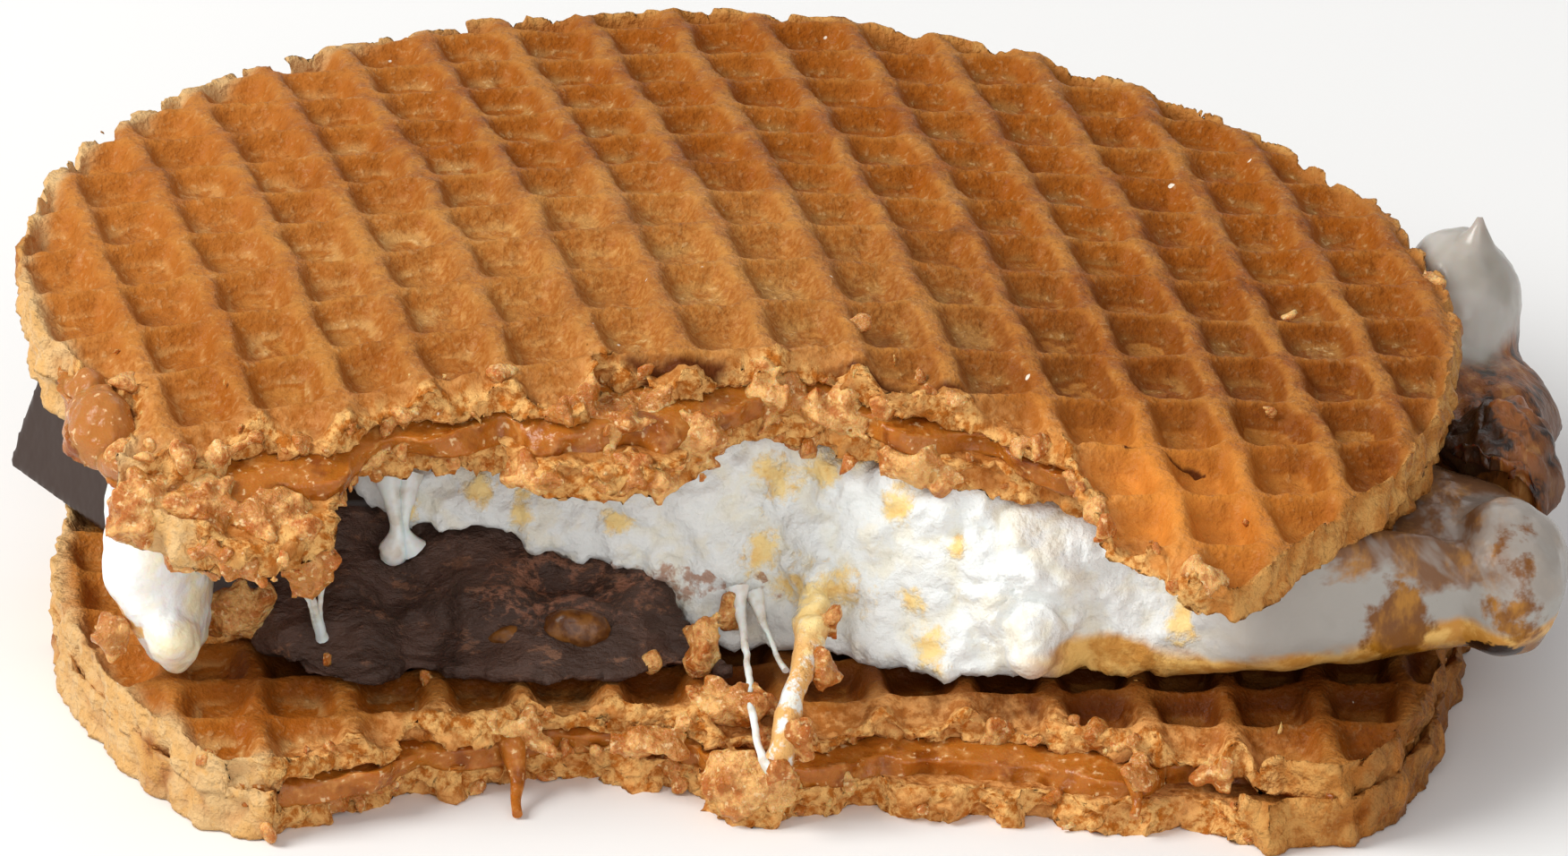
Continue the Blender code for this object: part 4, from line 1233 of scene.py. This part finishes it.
def crumb_paint(place):
    """Dry golden crumb, deeper orange and shiny where caramel has soaked in, with pale specks of painted
    highlight.
    """
    grain = place.mottle(0.7, 4.0, 0.65) * 0.55 + place.mottle(2.4, 3.0) * 0.45
    soaked = place.mottle(3.0, 3.0, 0.6).rise(0.47, 0.56)
    colour = grain.rise(0.40, 0.58).mixed(CRUMB_DEEP, CRUMB)
    colour = (soaked * 0.7).mixed(colour, SYRUP)
    # Painted highlights: pale specks where the crumb glints
    colour = (place.mottle(0.4, 3.0).rise(0.58, 0.68) * 0.6).mixed(colour, CRUMB_GLINT)
    height = place.mottle(0.30, 3.0) * 0.22 + place.mottle(0.7, 3.0, 0.6) * 0.3
    return {"Base Color": colour, "Roughness": 0.55 - soaked * 0.25, "Normal": bumps(height)}


CRUMBLY = coating(
    "broken_crumb", crumb_paint, Specular_IOR_Level=0.35, Subsurface_Weight=0.35, Subsurface_Scale=0.001,
)
crumbs = moulded(
    "crumbs", strewn,
    {
        "Upper": top_upper, "Lower": top_lower, "Upper below": bottom_upper, "Lower below": bottom_lower,
        "Edge crumbs": 0.9, "Clump crumbs": 2.6, "Material": CRUMBLY,
    },
    skin=0.19,
)
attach(crumbs, "root")


# --- Nuts in the chocolate: two bits of caramelised nut, smooth and amber, laid bare by the bite.
# They are set in the chocolate's broken face.
NUTS = (
    # middle, half size and turn of each
    ((-10.05, -14.75, 7.4), (2.0, 1.0, 1.3), (0.0, 0.25, 0.0)),
    ((-13.8, -14.4, 6.7), (1.3, 0.8, 0.8), (0.0, -0.1, 0.0)),
)


def nut_lumps(wires):
    """The nuts as rounded, slightly uneven lumps."""
    lumps = joined([stretched(ball(wires["Start"], 5), *nut) for nut in NUTS])
    spot = lumps.node("GeometryNodeInputPosition")
    return pushed(lumps, (spot.mottle(1.6, 2.0) - 0.5) * 0.5)


NUT_AMBER = (0.20, 0.075, 0.014)
NUT_DARK = (0.075, 0.022, 0.004)


def nut_paint(place):
    """Caramelised nut: glassy and amber, with darker veins."""
    veins = place.mottle(1.3, 4.0, 0.6)
    colour = veins.rise(0.40, 0.62).mixed(NUT_DARK, NUT_AMBER)
    return {"Base Color": colour, "Roughness": veins * 0.2 + 0.2, "Normal": bumps(veins * 0.1)}


NUT = coating("caramelised_nut", nut_paint, Specular_IOR_Level=0.35)
nuts = moulded("nuts", nut_lumps, {"Material": NUT})
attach(nuts, "root")


# --- Threads of melted marshmallow: pulled out as the bite was taken, from the filling to the chocolate
# and down over the bottom wafer. Thin, white and slightly shiny.
THREADS = (
    # the points of each thread, with its radius at each of them
    ((-1.2, -12.6, 9.0, 0.7), (-1.0, -13.6, 7.9, 0.34), (-0.8, -15.6, 7.3, 0.24), (-0.6, -18.0, 6.8, 0.2),
     (-0.4, -21.4, 5.7, 0.2), (0.1, -24.6, 4.5, 0.26), (0.9, -25.9, 4.0, 0.45)),
    ((-0.2, -12.6, 8.6, 0.5), (0.3, -14.4, 7.6, 0.2), (0.9, -16.4, 6.9, 0.14), (1.5, -18.4, 6.6, 0.2)),
    ((-20.6, -8.6, 14.0, 0.9), (-20.3, -9.4, 12.4, 0.55), (-20.1, -9.8, 11.2, 0.5), (-20.4, -9.9, 10.0, 0.9),
     (-20.8, -9.8, 9.5, 0.5)),
    ((-19.4, -8.6, 14.2, 0.8), (-19.7, -9.4, 12.6, 0.4), (-19.8, -9.8, 11.0, 0.4), (-19.2, -9.9, 10.0, 0.8)),
    ((-25.6, -19.0, 13.2, 0.4), (-25.3, -17.8, 11.4, 0.16), (-24.8, -16.4, 9.2, 0.14),
     (-24.4, -15.3, 7.2, 0.3)),
    ((-25.0, -19.0, 13.2, 0.5), (-24.9, -17.6, 11.2, 0.26), (-24.6, -16.2, 9.0, 0.22),
     (-24.3, -15.2, 7.1, 0.4)),
    ((-24.2, -18.6, 13.0, 0.4), (-24.3, -17.2, 11.0, 0.18), (-24.4, -16.0, 9.0, 0.16),
     (-24.4, -15.1, 7.0, 0.3)),
)


def drawn_out(wires, lines):
    """Smooth tubes along the lines, as thick as each point says."""
    tubes = []
    for line in lines:
        path = wires["Start"].node("GeometryNodeMeshLine", None, {"Count": len(line)}, "Mesh")
        number = path.node("GeometryNodeInputIndex")
        radius = 0.0
        for index, (x, y, z, thick) in enumerate(line):
            this_one = number.math("COMPARE", index, 0.1)
            path = placed(path, together(path, x, y, z), this_one)
            radius = this_one * thick + radius
        path = keep_value(path, "thick", radius)
        curve = path.node("GeometryNodeMeshToCurve", None, {"Mesh": path})
        curve = curve.node("GeometryNodeCurveSplineType", {"spline_type": "CATMULL_ROM"}, {"Curve": curve})
        curve = curve.node("GeometryNodeSetSplineResolution", None, {"Geometry": curve, "Resolution": 8})
        curve = curve.node("GeometryNodeResampleCurve", None, {"Curve": curve, "Count": len(line) * 7})
        round_one = {"Resolution": 10, "Radius": 1.0}
        ring = curve.node("GeometryNodeCurvePrimitiveCircle", None, round_one, "Curve")
        tube = {"Curve": curve, "Profile Curve": ring, "Fill Caps": True, "Scale": carried(curve, "thick")}
        tubes.append(curve.node("GeometryNodeCurveToMesh", None, tube))
    return joined(tubes)


def thread_lines(wires):
    """The threads, each slightly uneven along its way."""
    tubes = drawn_out(wires, THREADS)
    return shifted(tubes, tubes.node("GeometryNodeInputPosition").shake(1.2) * 0.35)


THREAD_CLEAR = (0.62, 0.58, 0.50)


def thread_paint(place):
    """White sugar foam pulled thin: milky, with clearer places."""
    milky = place.mottle(1.2, 3.0)
    colour = milky.rise(0.3, 0.6).mixed(THREAD_CLEAR, FOAM)
    return {"Base Color": colour, "Roughness": milky * 0.2 + 0.2}


THREAD = coating("marshmallow_thread", thread_paint, Subsurface_Weight=0.3, Subsurface_Scale=0.001)
threads = moulded("threads", thread_lines, {"Material": THREAD})
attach(threads, "root")


# --- Drips of caramel: two strings of syrup that ran out of the bottom wafer's bite before they set.
# Amber and sticky, with crumb clinging to their tops.
DRIPS = (
    # the points of each string, with its radius at each of them
    ((-13.8, -19.6, 3.4, 0.9), (-13.6, -20.6, 2.4, 0.7), (-13.4, -21.4, 1.4, 0.45), (-13.5, -22.6, 0.7, 0.3),
     (-13.4, -23.8, 0.36, 0.3)),
    ((20.4, -24.4, 3.6, 0.5), (20.9, -25.2, 2.6, 0.4), (21.0, -25.9, 1.9, 0.28), (20.8, -26.5, 1.5, 0.3)),
)


def drip_lines(wires):
    """The strings as smooth tubes."""
    return drawn_out(wires, DRIPS)


drips = moulded("caramel_drips", drip_lines, {"Material": SYRUPY})
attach(drips, "root")
